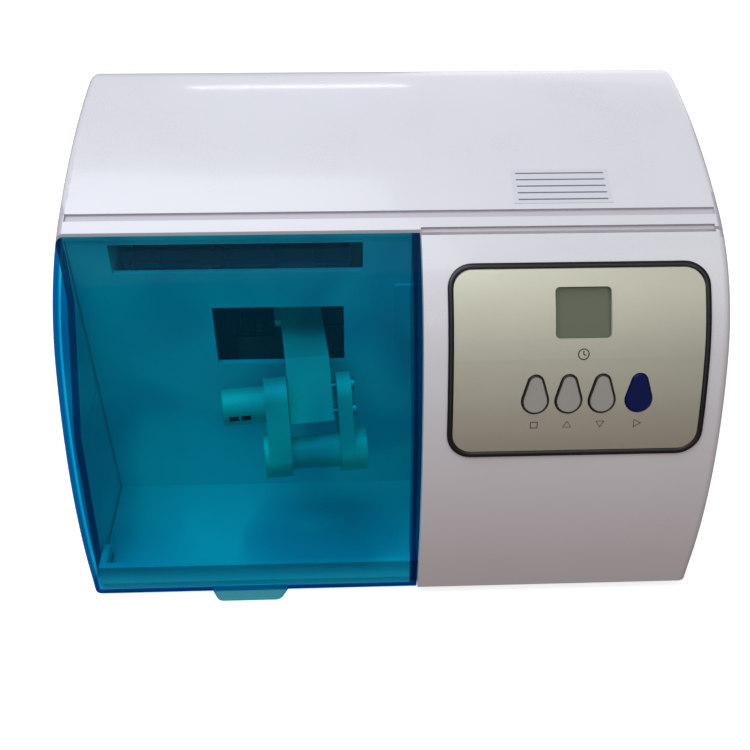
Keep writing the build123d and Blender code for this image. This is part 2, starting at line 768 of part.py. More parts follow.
# ---------------------------------------------------------------- buttons
tact_height = 4.0
tact_side = 6.0
stem_insert = 0.5
tact_recess = stem_insert + button_travel + 0.7
flange_depth = wall + 0.4
button_names = ("button_mode", "button_up", "button_down", "button_start")

for name, x in zip(button_names, button_xs):
    with BuildPart() as button:
        with BuildSketch(surface_plane(button_run, x, flange_depth + 0.5)):
            add(egg(0))
        extrude(amount=flange_depth + 0.5 + button_proud)
        outward = Axis(surface_plane(button_run, x).origin, surface_plane(button_run, x).z_dir)
        fillet(button.faces().sort_by(outward)[-1].edges(), 0.5)
        with BuildSketch(surface_plane(button_run, x, flange_depth + 1.0)):
            add(egg(0.9))
        extrude(amount=1.0)
        with BuildSketch(surface_plane(button_run, x, board_depth - tact_height + stem_insert)):
            Circle(stem_radius)
        extrude(amount=board_depth - tact_height + stem_insert - flange_depth)
    save(button.part, name)

# ---------------------------------------------------------------- control board
with BuildPart() as control_board:
    with BuildSketch(board_plane.offset(-board_thickness)):
        Rectangle(board_width, board_height)
        with Locations(*board_screw_spots):
            Circle(board_screw_radius + 0.2, mode=Mode.SUBTRACT)
    extrude(amount=board_thickness)
    # chips and connectors on the inner side
    with BuildSketch(board_plane.offset(-board_thickness - 1.6)):
        with Locations((-8, 2)):
            Rectangle(12, 12)
        with Locations((14, -4)):
            Rectangle(8, 5)
    extrude(amount=1.7)
    with BuildSketch(board_plane.offset(-board_thickness - 6)):
        with Locations((26, 8)):
            Rectangle(10, 6)
        with Locations((-27, -8)):
            Rectangle(14, 6)
    extrude(amount=6.1)
save(control_board.part, "control_board")

with BuildPart() as tact_switches:
    for x in button_xs:
        with BuildSketch(surface_plane(button_run, x, board_depth)):
            Rectangle(tact_side, tact_side)
        extrude(amount=tact_height)
        with BuildSketch(surface_plane(button_run, x, board_depth - tact_height + tact_recess)):
            Circle(stem_radius + slide_gap)
        extrude(amount=tact_recess, mode=Mode.SUBTRACT)
save(tact_switches.part, "tact_switches")

# ---------------------------------------------------------------- power board
power_low = standoff_top
power_top = power_low + board_thickness
power_middle_y = front_y + (power_front + power_back) / 2
core_width = 36.0
core_thickness = 18.0
core_right = power_right - 7.0
core_left = core_right - core_width
with BuildPart() as power_board:
    add(slab(power_left, power_right, front_y + power_front, front_y + power_back, power_low, power_top))
    # two capacitors and a relay
    add(rod((core_left - 24, power_middle_y + 1, power_top - 0.1), (0, 0, 1), 6.0, 16.0))
    add(rod((core_left - 10, power_middle_y + 5, power_top - 0.1), (0, 0, 1), 4.0, 11.0))
    add(slab(core_left - 17, core_left - 5, power_middle_y - 11, power_middle_y - 4,
             power_top - 0.1, power_top + 9))
    with BuildSketch(Plane.XY.offset(power_low)):
        with Locations(*standoff_spots):
            Circle(board_screw_radius + 0.2)
    extrude(amount=board_thickness + 1, mode=Mode.SUBTRACT)
save(power_board.part, "power_board")

# transformer: an E-I core whose middle limb carries the winding
core_front = power_middle_y + 1 - core_thickness / 2
core_back = core_front + core_thickness
core_top = power_top + 30.0
limb_half = 6.0
window_low = power_top + 6.0
window_high = core_top - 6.0
core_middle = (core_left + core_right) / 2
with BuildPart() as transformer_core:
    add(slab(core_left, core_right, core_front, core_back, power_top, core_top))
    for side in (-1, 1):
        near = core_middle + side * limb_half
        far = core_middle + side * (limb_half + 6.0)
        add(slab(min(near, far), max(near, far), core_front - 1, core_back + 1, window_low, window_high),
            mode=Mode.SUBTRACT)
save(transformer_core.part, "transformer_core")

with BuildPart() as transformer_winding:
    reach = limb_half + 6.0 - 0.2
    add(slab(core_middle - reach, core_middle + reach, core_front - 4, core_back + 4,
             window_low + 0.2, window_high - 0.2))
    fillet(transformer_winding.edges().filter_by(Axis.Z), 2.5)
    add(slab(core_middle - limb_half - 0.1, core_middle + limb_half + 0.1, core_front - 0.1, core_back + 0.1,
             window_low - 1, window_high + 1), mode=Mode.SUBTRACT)
save(transformer_winding.part, "transformer_winding")

board_head_radius = 2.2
board_head_height = 1.4
board_shank = 5.0
power_face = Plane.XY.offset(power_top)
board_rear = board_plane.offset(-board_thickness)
control_face = Plane(origin=board_rear.origin, x_dir=(1, 0, 0), z_dir=-board_rear.z_dir)
with BuildPart() as board_screws:
    for face, spots in ((power_face, standoff_spots), (control_face, board_screw_spots)):
        with BuildSketch(face):
            with Locations(*spots):
                Circle(board_head_radius)
        extrude(amount=board_head_height)
        with BuildSketch(face.offset(-board_shank)):
            with Locations(*spots):
                Circle(board_screw_radius - 0.02)
        extrude(amount=board_shank)
save(board_screws.part, "board_screws")

# ---------------------------------------------------------------- motor cradle on rubber isolators
plate_low = floor_top + cradle_rise
plate_top = plate_low + plate
bearing_left_x = cradle_left_x + plate / 2
bearing_right_x = motor_face_x - plate / 2
spring_reaches = (25.0, -25.0)    # restraint springs in front of and behind the hub
spring_post_radius = 2.7
spring_post_height = 4.0


def upright(x, half_base, head_radius):
    """A cradle wall with a round head, standing on the plate, with the bearing's bore."""
    with BuildPart() as sheet:
        with BuildSketch(Plane.YZ.offset(x)):
            with Locations((hub_y, hub_z)):
                Circle(head_radius)
            with Locations((hub_y - half_base + 1, plate_top), (hub_y + half_base - 1, plate_top)):
                Circle(1.0)
            make_hull()
            with Locations((hub_y, hub_z)):
                Circle(bearing_radius + run_gap, mode=Mode.SUBTRACT)
        extrude(amount=plate)
    return sheet.part


with BuildPart() as motor_cradle:
    add(slab(cradle_left_x, cradle_right_x, hub_y - cradle_half_depth, hub_y + cradle_half_depth,
             plate_low, plate_top))
    add(upright(cradle_left_x, 18.0, 14.0))
    add(upright(motor_face_x - plate, cradle_half_depth, motor_radius))
    for reach in spring_reaches:
        add(rod((hub_x, hub_y - reach, plate_top - 1), (0, 0, 1), spring_post_radius, spring_post_height + 1))
    with BuildSketch(Plane.XY.offset(plate_low - 1)):
        with Locations(*isolator_spots):
            Circle(screw_radius + 0.2)
    extrude(amount=plate + 2, mode=Mode.SUBTRACT)
save(motor_cradle.part, "motor_cradle")

with BuildPart() as rubber_isolators:
    with BuildSketch(Plane.XY.offset(floor_top)):
        with Locations(*isolator_spots):
            Circle(isolator_radius)
            Circle(screw_radius + 0.2, mode=Mode.SUBTRACT)
    extrude(amount=cradle_rise)
    # waist of each isolator
    for x, y in isolator_spots:
        with BuildSketch(Plane.XZ.offset(-y)):
            with Locations((x + isolator_radius + 2.2, floor_top + cradle_rise / 2)):
                Circle(3.6)
        revolve(axis=Axis((x, y, 0), (0, 0, 1)), mode=Mode.SUBTRACT)
save(rubber_isolators.part, "rubber_isolators")

with BuildPart() as cradle_bolts:
    for x, y in isolator_spots:
        add(rod((x, y, case_bottom + 0.3), (0, 0, 1), screw_radius, plate_top - case_bottom))
        add(rod((x, y, plate_top), (0, 0, 1), screw_head_radius, 2.2))
        with BuildSketch(Plane.XY.offset(plate_top + 1.2)):
            with Locations((x, y)):
                RegularPolygon(1.4, 6)
        extrude(amount=2, mode=Mode.SUBTRACT)
save(cradle_bolts.part, "cradle_bolts")

# ---------------------------------------------------------------- drive motor
can_front_thickness = 2.5
can_back_x = motor_face_x + motor_length
magnet_thickness = 4.3
magnet_arc = 62.0             # half angle of each magnet
rotor_x = motor_face_x + 15.0
field_left = rotor_x - 2
field_right = rotor_x + armature_length + 2

with BuildPart() as motor_can:
    add(rod((motor_face_x, hub_y, hub_z), (1, 0, 0), motor_radius, motor_length))
    add(rod((motor_face_x + can_front_thickness, hub_y, hub_z), (1, 0, 0), motor_radius - motor_can_wall,
            motor_length), mode=Mode.SUBTRACT)
    add(rod((motor_face_x - 1, hub_y, hub_z), (1, 0, 0), bearing_radius + run_gap, 10), mode=Mode.SUBTRACT)
save(motor_can.part, "motor_can")

with BuildPart() as motor_magnets:
    outer = motor_radius - motor_can_wall
    inner = outer - magnet_thickness
    for middle in (90, 270):
        with BuildSketch(Plane.YZ.offset(field_left)):
            with BuildLine():
                outer_arc = CenterArc((hub_y, hub_z), outer, middle - magnet_arc, 2 * magnet_arc)
                inner_arc = CenterArc((hub_y, hub_z), inner, middle - magnet_arc, 2 * magnet_arc)
                Line(outer_arc @ 0, inner_arc @ 0)
                Line(outer_arc @ 1, inner_arc @ 1)
            make_face()
        extrude(amount=field_right - field_left)
save(motor_magnets.part, "motor_magnets")

with BuildPart() as motor_end_bell:
    add(rod((can_back_x, hub_y, hub_z), (1, 0, 0), motor_radius, plate))
    add(rod((can_back_x, hub_y, hub_z), (1, 0, 0), 12.0, bell_length))
    add(rod((can_back_x - 1, hub_y, hub_z), (1, 0, 0), shaft_radius + run_gap, 20), mode=Mode.SUBTRACT)
    with BuildSketch(Plane.YZ.offset(can_back_x - 1)):
        with Locations((hub_y, hub_z)):
            with PolarLocations(19.0, 8):
                Circle(3.0)
    extrude(amount=plate + 2, mode=Mode.SUBTRACT)
save(motor_end_bell.part, "motor_end_bell")

brush_length = 7.0
with BuildPart() as brush_holders:
    for side in (-1, 1):
        near = hub_z + side * (commutator_radius + 0.4)
        far = hub_z + side * (motor_radius - motor_can_wall - 1)
        add(slab(can_back_x - brush_length, can_back_x, hub_y - 3, hub_y + 3, min(near, far), max(near, far)))
save(brush_holders.part, "brush_holders")

# rotor: slotted core, winding in the slots, commutator, all on the shaft
slot_count = 8
with BuildPart() as armature_core:
    add(rod((rotor_x, hub_y, hub_z), (1, 0, 0), armature_radius, armature_length))
    with BuildSketch(Plane.YZ.offset(rotor_x)):
        with Locations((hub_y, hub_z)):
            with PolarLocations((armature_radius + 11) / 2, slot_count):
                Rectangle(armature_radius - 9, 3.2)
            Circle(shaft_radius + run_gap)
    extrude(amount=armature_length, mode=Mode.SUBTRACT)
save(armature_core.part, "armature_core")

overhang = 4.5
with BuildPart() as armature_winding:
    with BuildSketch(Plane.YZ.offset(rotor_x - overhang)):
        with Locations((hub_y, hub_z)):
            with PolarLocations(14.3, slot_count):
                Rectangle(4.2, 2.4)
    extrude(amount=armature_length + 2 * overhang)
    for x in (rotor_x - overhang, rotor_x + armature_length):
        with BuildSketch(Plane.YZ.offset(x)):
            with Locations((hub_y, hub_z)):
                Circle(16.4)
                Circle(shaft_radius + 1.5, mode=Mode.SUBTRACT)
        extrude(amount=overhang)
save(armature_winding.part, "armature_winding")

commutator_x = can_back_x - commutator_length + 0.4
with BuildPart() as commutator:
    add(rod((commutator_x, hub_y, hub_z), (1, 0, 0), commutator_radius, commutator_length - 1.2))
    with BuildSketch(Plane.YZ.offset(commutator_x)):
        with Locations((hub_y, hub_z)):
            with PolarLocations(commutator_radius, 12):
                Rectangle(2.4, 0.5)
            Circle(shaft_radius + run_gap)
    extrude(amount=commutator_length, mode=Mode.SUBTRACT)
save(commutator.part, "commutator")

shaft_left_x = bearing_left_x - bearing_width / 2 - 1
fan_x = can_back_x + bell_length + fan_gap
shaft_right_x = fan_x + fan_width
with BuildPart() as drive_shaft:
    add(rod((shaft_left_x, hub_y, hub_z), (1, 0, 0), shaft_radius, shaft_right_x - shaft_left_x))
    chamfer(drive_shaft.edges(), 0.4)
save(drive_shaft.part, "drive_shaft")

with BuildPart() as shaft_bearings:
    for x in (bearing_left_x, bearing_right_x):
        with BuildSketch(Plane.YZ.offset(x - bearing_width / 2)):
            with Locations((hub_y, hub_z)):
                Circle(bearing_radius)
                Circle(shaft_radius + run_gap, mode=Mode.SUBTRACT)
        extrude(amount=bearing_width)
    # shallow ring between inner and outer race
    for x in (bearing_left_x, bearing_right_x):
        for face_x in (x - bearing_width / 2, x + bearing_width / 2 - 0.6):
            with BuildSketch(Plane.YZ.offset(face_x)):
                with Locations((hub_y, hub_z)):
                    Circle(8.0)
                    Circle(5.6, mode=Mode.SUBTRACT)
            extrude(amount=0.6, mode=Mode.SUBTRACT)
save(shaft_bearings.part, "shaft_bearings")

with BuildPart() as cooling_fan:
    add(rod((fan_x, hub_y, hub_z), (1, 0, 0), 7.0, fan_width))
    add(rod((fan_x, hub_y, hub_z), (1, 0, 0), fan_radius, 1.2))
    with BuildSketch(Plane.YZ.offset(fan_x)):
        with Locations((hub_y, hub_z)):
            with PolarLocations((fan_radius + 6) / 2, fan_blades):
                Rectangle(fan_radius - 6, 1.2)
    extrude(amount=fan_width)
    add(rod((fan_x - 1, hub_y, hub_z), (1, 0, 0), shaft_radius + run_gap, fan_width + 2), mode=Mode.SUBTRACT)
save(cooling_fan.part, "cooling_fan")

# ---------------------------------------------------------------- swash drive
hub = Vector(hub_x, hub_y, hub_z)
swing_axis = Axis((hub_x, hub_y, hub_z), (0, 0, 1))


def swung(part):
    """Turn a piece built with the arm straight ahead to the arm's rest position."""
    return part.rotate(swing_axis, swash_angle)


with BuildPart() as tilted_collar:
    add(rod((hub_x - collar_length / 2, hub_y, hub_z), (1, 0, 0), collar_radius, collar_length))
with BuildPart() as swash_collar:
    add(swung(tilted_collar.part))
    add(rod((hub_x - collar_length / 2 - 3, hub_y, hub_z), (1, 0, 0), collar_radius - 1, collar_length + 6))
    add(rod((hub_x - 30, hub_y, hub_z), (1, 0, 0), shaft_radius + run_gap, 60), mode=Mode.SUBTRACT)
save(swash_collar.part, "swash_collar")

with BuildPart() as level_bearing:
    with Locations(hub):
        Sphere(swash_bearing_radius)
    add(slab(hub_x - swash_bearing_width / 2, hub_x + swash_bearing_width / 2, hub_y - 20, hub_y + 20,
             hub_z - 20, hub_z + 20), mode=Mode.INTERSECT)
    add(rod((hub_x - 20, hub_y, hub_z), (1, 0, 0), collar_radius + run_gap, 40), mode=Mode.SUBTRACT)
save(swung(level_bearing.part), "swash_bearing")

# ---------------------------------------------------------------- swing arm, built pointing straight ahead
arm_half = arm_width / 2
arm_top = hub_z + arm_thickness / 2
arm_low = hub_z - arm_thickness / 2
hub_bore = swash_bearing_radius + 0.3
bend = Vector(0, front_y + bend_setback, arm_top)
tip = Vector(0, front_y + head_setback, arm_top - head_drop)
head_along = (tip - bend).normalized()
head_inward = Vector(1, 0, 0).cross(head_along) * head_thickness
if head_inward.Z > 0:
    head_inward = head_inward * -1
heel = tip + head_inward
back_up = (heel.Z - arm_low) / head_along.Z
knee_y = heel.Y - head_along.Y * back_up
capsule_y = front_y + capsule_setback
capsule_z = hub_z - capsule_drop
head_middle = bend + head_inward * 0.5
rod_points = [head_middle + head_along * reach for reach in (10.4, 10.4 + rod_spacing)]
stem_point = (rod_points[0] + rod_points[1]) * 0.5

with BuildPart() as straight_arm:
    with BuildSketch(Plane.YZ.offset(hub_x - arm_half)):
        with BuildLine():
            Polyline(
                (hub_y - hub_bore - 2, arm_top),
                (bend.Y, bend.Z),
                (tip.Y, tip.Z),
                (heel.Y, heel.Z),
                (knee_y, arm_low),
                (hub_y - hub_bore - 2, arm_low),
                close=True,
            )
        make_face()
    extrude(amount=arm_width)
    # wider root beside the hub, and the tail that carries the rear spring
    add(slab(hub_x - arm_half - flare, hub_x + arm_half, hub_y - flare_reach, hub_y - hub_bore - 1,
             arm_low, arm_top))
    add(slab(hub_x - 4, hub_x + 4, hub_y + hub_bore + 2, hub_y - spring_reaches[1] + 4, arm_low, arm_top))
    add(rod((hub_x - hub_width / 2, hub_y, hub_z), (1, 0, 0), hub_outer_radius, hub_width))
    for reach in spring_reaches:
        add(rod((hub_x, hub_y - reach, arm_low + 1), (0, 0, -1), spring_post_radius, spring_post_height + 1))
    add(rod((hub_x - 30, hub_y, hub_z), (1, 0, 0), hub_bore, 60), mode=Mode.SUBTRACT)
    for spot in rod_points + [stem_point]:
        add(rod((hub_x - 20, spot.Y, spot.Z), (1, 0, 0), rod_radius + run_gap, 40), mode=Mode.SUBTRACT)
save(swung(straight_arm.part), "swing_arm")

# ---------------------------------------------------------------- jaws that hold the capsule
capsule_left = hub_x + capsule_shift - capsule_length / 2
capsule_right = capsule_left + capsule_length
pocket_radius = capsule_radius + fit_gap
moving_face = hub_x - arm_half - 0.4
fixed_face = hub_x + arm_half + 1.5
fixed_back = fixed_face + fixed_jaw_thickness
moving_back = moving_face - jaw_thickness


def jaw(face_x, back_x, cup_end_x, capsule_end_x):
    """A plate between the rods and the capsule, with a cup that takes one end of the capsule."""
    left, right = min(face_x, back_x), max(face_x, back_x)
    with BuildPart() as plate_and_cup:
        with BuildSketch(Plane.YZ.offset(left)):
            with Locations((stem_point.Y - 0.9, stem_point.Z + 2.7)):
                Circle(jaw_top_radius)
            with Locations((capsule_y, capsule_z)):
                Circle(cup_radius)
            make_hull()
        extrude(amount=right - left)
        add(rod((min(face_x, cup_end_x), capsule_y, capsule_z), (1, 0, 0), cup_radius, abs(cup_end_x - face_x)))
        low, high = min(face_x, capsule_end_x), max(face_x, capsule_end_x)
        add(rod((low, capsule_y, capsule_z), (1, 0, 0), pocket_radius, high - low), mode=Mode.SUBTRACT)
        for spot in rod_points:
            add(rod((hub_x - 40, spot.Y, spot.Z), (1, 0, 0), rod_radius + run_gap, 80), mode=Mode.SUBTRACT)
    return plate_and_cup.part


with BuildPart() as straight_fixed_jaw:
    add(jaw(fixed_face, fixed_back, capsule_right + cup_wall, capsule_right + run_gap))
save(swung(straight_fixed_jaw.part), "fixed_jaw")

spring_closed = 5.3           # length left for the closed jaw spring
stem_left = moving_back - jaw_travel - spring_closed
stem_head = 1.0
cavity_radius = 4.3
knob_left = moving_back - knob_length

with BuildPart() as straight_moving_jaw:
    add(jaw(moving_face, moving_back, capsule_left - cup_wall, capsule_left - run_gap))
    add(rod((hub_x - 40, stem_point.Y, stem_point.Z), (1, 0, 0), rod_radius + run_gap, 40), mode=Mode.SUBTRACT)
save(swung(straight_moving_jaw.part), "sliding_jaw")

with BuildPart() as straight_knob:
    add(rod((knob_left, stem_point.Y, stem_point.Z), (1, 0, 0), knob_radius, knob_length))
    outer_rim = straight_knob.faces().sort_by(Axis.X)[0].edges()
    fillet(outer_rim, 1.0)
    add(rod((knob_left + knob_wall - 0.3, stem_point.Y, stem_point.Z), (1, 0, 0), cavity_radius, knob_length),
        mode=Mode.SUBTRACT)
    # two square holes in the front
    for x in (hub_x - 26.2, hub_x - 22.1):
        add(slab(x - 1.6, x + 1.6, stem_point.Y - 8, stem_point.Y - 3, stem_point.Z - 1, stem_point.Z + 1),
            mode=Mode.SUBTRACT)
save(swung(straight_knob.part), "jaw_knob")

with BuildPart() as straight_rods:
    for spot in rod_points:
        add(rod((moving_back + 0.3, spot.Y, spot.Z), (1, 0, 0), rod_radius, fixed_back - moving_back - 0.3))
        add(rod((fixed_back, spot.Y, spot.Z), (1, 0, 0), 2.3, 1.8))
save(swung(straight_rods.part), "guide_rods")

with BuildPart() as straight_stem:
    stem_right = hub_x + arm_half - 2
    add(rod((stem_left, stem_point.Y, stem_point.Z), (1, 0, 0), rod_radius, stem_right - stem_left))
    add(rod((stem_left - stem_head, stem_point.Y, stem_point.Z), (1, 0, 0), 3.4, stem_head))
save(swung(straight_stem.part), "spring_stem")

body_radius = capsule_radius - 0.45
cap_length = 13.0
with BuildPart() as straight_body:
    add(rod((capsule_left, capsule_y, capsule_z), (1, 0, 0), body_radius, capsule_length - cap_length + 5))
    fillet(straight_body.faces().sort_by(Axis.X)[0].edges(), 0.8)
    add(rod((capsule_left + 1.2, capsule_y, capsule_z), (1, 0, 0), body_radius - 0.9, capsule_length),
        mode=Mode.SUBTRACT)
save(swung(straight_body.part), "capsule_body")

with BuildPart() as straight_cap:
    add(rod((capsule_right - cap_length, capsule_y, capsule_z), (1, 0, 0), capsule_radius, cap_length))
    fillet(straight_cap.faces().sort_by(Axis.X)[-1].edges(), 0.8)
    add(rod((capsule_right - cap_length - 1, capsule_y, capsule_z), (1, 0, 0), body_radius + run_gap, 6.05),
        mode=Mode.SUBTRACT)
    add(rod((capsule_right - cap_length - 1, capsule_y, capsule_z), (1, 0, 0), body_radius - 0.9,
            cap_length - 0.2), mode=Mode.SUBTRACT)
save(swung(straight_cap.part), "capsule_cap")


# ---------------------------------------------------------------- coil springs
def coil(start, end, mean_radius, wire, turns):
    """An open coil from `start` to `end`: one tube swept along quarter-turn biarcs."""
    along = (end - start).normalized()
    side = along.cross(Vector(0, 1, 0)).normalized()
    other = along.cross(side)
    rise = (end - start).length / turns
    step = 0.25

    def point(turn):
        angle = 2 * pi * turn
        return start + along * (rise * turn) + (side * cos(angle) + other * sin(angle)) * mean_radius

    def heading(turn):
        angle = 2 * pi * turn
        return (along * (rise / (2 * pi)) + (other * cos(angle) - side * sin(angle)) * mean_radius).normalized()

    samples = [point(i / 24) for i in range(24 * turns + 1)]
    least = min((samples[i] - samples[j]).length for i in range(0, 25) for j in range(i + 16, len(samples)))
    print(f"coil of {turns} turns, least gap to itself {least - wire:.2f} mm")
    with BuildPart() as tube:
        with BuildLine():
            for i in range(int(turns / step)):
                p0, p1 = point(i * step), point((i + 1) * step)
                t0, t1 = heading(i * step), heading((i + 1) * step)
                chord, both = p1 - p0, t0 + t1
                lean = chord.dot(both)
                square = 4 - both.dot(both)
                reach = (sqrt(lean ** 2 + square * chord.dot(chord)) - lean) / square
                q0, q1 = p0 + t0 * reach, p1 - t1 * reach
                joint = (q0 + q1) * 0.5
                add(Edge.make_tangent_arc(p0, t0, joint))
                add(Edge.make_tangent_arc(joint, (q1 - q0).normalized(), p1))
        with BuildSketch(Plane(origin=point(0), z_dir=heading(0))):
            Circle(wire / 2)
        sweep()
    return tube.part


restraint_wire = 0.8
restraint_radius = spring_post_radius + restraint_wire / 2 + 0.3
with BuildPart() as restraint_springs:
    for reach in spring_reaches:
        foot = Vector(hub_x, hub_y - reach, plate_top + restraint_wire / 2 + 0.1)
        head = Vector(hub_x, hub_y - reach, arm_low - restraint_wire / 2 - 0.1)
        lean_x = reach * sin(radians(swash_angle))
        lean_y = reach * (1 - cos(radians(swash_angle)))
        add(coil(foot, head + Vector(lean_x, lean_y, 0), restraint_radius, restraint_wire, 12))
save(restraint_springs.part, "restraint_springs")

jaw_wire = 0.6
with BuildPart() as straight_jaw_spring:
    spring_start = Vector(moving_back - jaw_wire / 2 - 0.1, stem_point.Y, stem_point.Z)
    spring_end = Vector(stem_left + jaw_wire / 2 + 0.1, stem_point.Y, stem_point.Z)
    add(coil(spring_start, spring_end, 2.6, jaw_wire, 6))
save(swung(straight_jaw_spring.part), "jaw_spring")

# ---------------------------------------------------------------- back of the case
flange_face = back_y + flange
pin_spots = ((-7.0, -1.7), (0.0, 2.3), (7.0, -1.7))
pin_recess = 4.8              # pin tips behind the flange's face


def inlet_pin_set(grow):
    """The three flat contacts of the mains inlet."""
    with BuildPart() as pins:
        for dx, dz in pin_spots:
            add(slab(inlet_x + dx - 1 - grow, inlet_x + dx + 1 + grow,
                     back_y - inlet_depth - 5, flange_face - pin_recess,
                     rear_z + dz - 2 - grow, rear_z + dz + 2 + grow))
    return pins.part


with BuildPart() as power_inlet:
    add(slab(inlet_x - inlet_width / 2, inlet_x + inlet_width / 2, back_y - inlet_depth, back_y + 0.1,
             rear_z - inlet_height / 2, rear_z + inlet_height / 2))
    add(slab(inlet_x - inlet_width / 2 - 2, inlet_x + inlet_width / 2 + 2, back_y, flange_face,
             rear_z - inlet_height / 2 - 2, rear_z + inlet_height / 2 + 2))
    fillet(power_inlet.edges().filter_by(Axis.Y).filter_by_position(Axis.Y, back_y + 0.5, flange_face), 1.5)
    with BuildSketch(Plane.XZ.offset(-flange_face)):
        with BuildLine():
            half_socket = inlet_width / 2 - inlet_wall
            half_tall = inlet_height / 2 - inlet_wall
            Polyline(
                (inlet_x - half_socket, rear_z - half_tall),
                (inlet_x - half_socket, rear_z + half_tall - 5),
                (inlet_x - half_socket + 5, rear_z + half_tall),
                (inlet_x + half_socket - 5, rear_z + half_tall),
                (inlet_x + half_socket, rear_z + half_tall - 5),
                (inlet_x + half_socket, rear_z - half_tall),
                close=True,
            )
        make_face()
    extrude(amount=inlet_depth + flange - 3, mode=Mode.SUBTRACT)
    add(inlet_pin_set(run_gap), mode=Mode.SUBTRACT)
save(power_inlet.part, "power_inlet")
save(inlet_pin_set(0), "inlet_pins")

rocker_half = rocker_width / 2
pivot_y = flange_face - 1.0
with BuildPart() as switch_frame:
    add(slab(switch_x - switch_width / 2, switch_x + switch_width / 2, back_y - switch_depth, back_y + 0.1,
             rear_z - switch_height / 2, rear_z + switch_height / 2))
    add(slab(switch_x - switch_width / 2 - 1.5, switch_x + switch_width / 2 + 1.5, back_y, flange_face,
             rear_z - switch_height / 2 - 1.5, rear_z + switch_height / 2 + 1.5))
    add(slab(switch_x - rocker_half - 0.5, switch_x + rocker_half + 0.5, back_y - switch_depth + 4,
             flange_face + 1, rear_z - 6.3, rear_z + 6.3), mode=Mode.SUBTRACT)
    add(rod((switch_x - rocker_half - 1.3, pivot_y, rear_z), (1, 0, 0), 1.0 + run_gap, rocker_width + 2.6),
        mode=Mode.SUBTRACT)
save(switch_frame.part, "switch_frame")

rocker_outline = ((-3.0, 0.0), (-1.0, -5.2), (3.2, -5.2), (2.0, 0.0), (3.2, 5.2), (-1.0, 5.2))
half_swing = radians(rocker_swing / 2)
with BuildPart() as switch_rocker:
    with BuildSketch(Plane.YZ.offset(switch_x - rocker_half)):
        with BuildLine():
            Polyline(
                *((pivot_y + a * cos(half_swing) + b * sin(half_swing),
                   rear_z - a * sin(half_swing) + b * cos(half_swing)) for a, b in rocker_outline),
                close=True,
            )
        make_face()
    extrude(amount=rocker_width)
    add(rod((switch_x - rocker_half - 1.2, pivot_y, rear_z), (1, 0, 0), 1.0, rocker_width + 2.4))
save(switch_rocker.part, "switch_rocker")

with BuildPart() as fuse_holder:
    add(rod((fuse_x, back_y - 22, rear_z), (0, 1, 0), fuse_radius, 22.1))
    add(rod((fuse_x, back_y, rear_z), (0, 1, 0), 8.0, flange))
    add(rod((fuse_x, back_y - 19, rear_z), (0, 1, 0), 4.6, 30), mode=Mode.SUBTRACT)
save(fuse_holder.part, "fuse_holder")

with BuildPart() as fuse_cap:
    add(rod((fuse_x, back_y - 6, rear_z), (0, 1, 0), 4.55, 6 + flange + 0.5))
    add(rod((fuse_x, flange_face, rear_z), (0, 1, 0), 6.2, fuse_cap_reach))
    chamfer(fuse_cap.faces().sort_by(Axis.Y)[-1].edges(), 0.5)
    add(slab(fuse_x - 8, fuse_x + 8, flange_face + fuse_cap_reach - 1, back_y + 10, rear_z - 0.7, rear_z + 0.7),
        mode=Mode.SUBTRACT)
save(fuse_cap.part, "fuse_cap")

# ---------------------------------------------------------------- feet and case screws
with BuildPart() as rubber_feet:
    with BuildSketch(Plane.XY):
        with Locations(*foot_spots):
            Circle(foot_radius)
    extrude(amount=foot_height, taper=4)
    with BuildSketch(Plane.XY.offset(foot_height - 0.5)):
        with Locations(*foot_spots):
            Circle(foot_stud_radius)
    extrude(amount=wall + 0.5)
save(rubber_feet.part, "rubber_feet")


def screw_set(spots, head_z, length):
    """Pan-head screws pointing up, with a cross recess, at the given spots."""
    with BuildPart() as screws:
        for x, y in spots:
            add(rod((x, y, head_z - 2.0), (0, 0, 1), screw_head_radius, 2.0))
            add(rod((x, y, head_z), (0, 0, 1), screw_radius - 0.02, length))
            add(slab(x - 1.6, x + 1.6, y - 0.35, y + 0.35, head_z - 3, head_z - 1), mode=Mode.SUBTRACT)
            add(slab(x - 0.35, x + 0.35, y - 1.6, y + 1.6, head_z - 3, head_z - 1), mode=Mode.SUBTRACT)
    return screws.part


save(screw_set(post_spots, base_top - 12, 20.0), "case_screws")
save(screw_set(fascia_post_spots, case_bottom + 4, 12.0), "fascia_screws")
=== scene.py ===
# %% [markdown]
# # Dental amalgamator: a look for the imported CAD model
# The object is a bench-top mixer. A capsule is clamped in a small arm behind a tinted lid, and a motor
# shakes it. The CAD model gives every solid and every joint; this file gives surfaces, light and camera.
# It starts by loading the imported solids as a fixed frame. Blender's lengths are in metres; sizes that are
# easier to read in millimetres are written so, and multiplied by MM.

# %% load the frame
import bpy
import bmesh
import math
from mathutils import Matrix, Vector


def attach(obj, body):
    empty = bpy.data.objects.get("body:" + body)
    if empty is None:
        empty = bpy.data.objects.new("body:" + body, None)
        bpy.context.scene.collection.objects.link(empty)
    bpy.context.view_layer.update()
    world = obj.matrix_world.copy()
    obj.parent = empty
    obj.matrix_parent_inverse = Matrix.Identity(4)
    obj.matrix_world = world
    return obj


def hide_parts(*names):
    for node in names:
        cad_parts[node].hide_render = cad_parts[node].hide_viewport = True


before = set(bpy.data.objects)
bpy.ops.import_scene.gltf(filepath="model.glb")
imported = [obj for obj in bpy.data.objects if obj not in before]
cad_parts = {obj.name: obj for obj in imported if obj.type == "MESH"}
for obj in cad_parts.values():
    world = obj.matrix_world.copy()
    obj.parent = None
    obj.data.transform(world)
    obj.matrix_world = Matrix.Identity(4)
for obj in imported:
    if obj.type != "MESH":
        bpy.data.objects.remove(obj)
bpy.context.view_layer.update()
MM = 0.001
scene = bpy.context.scene

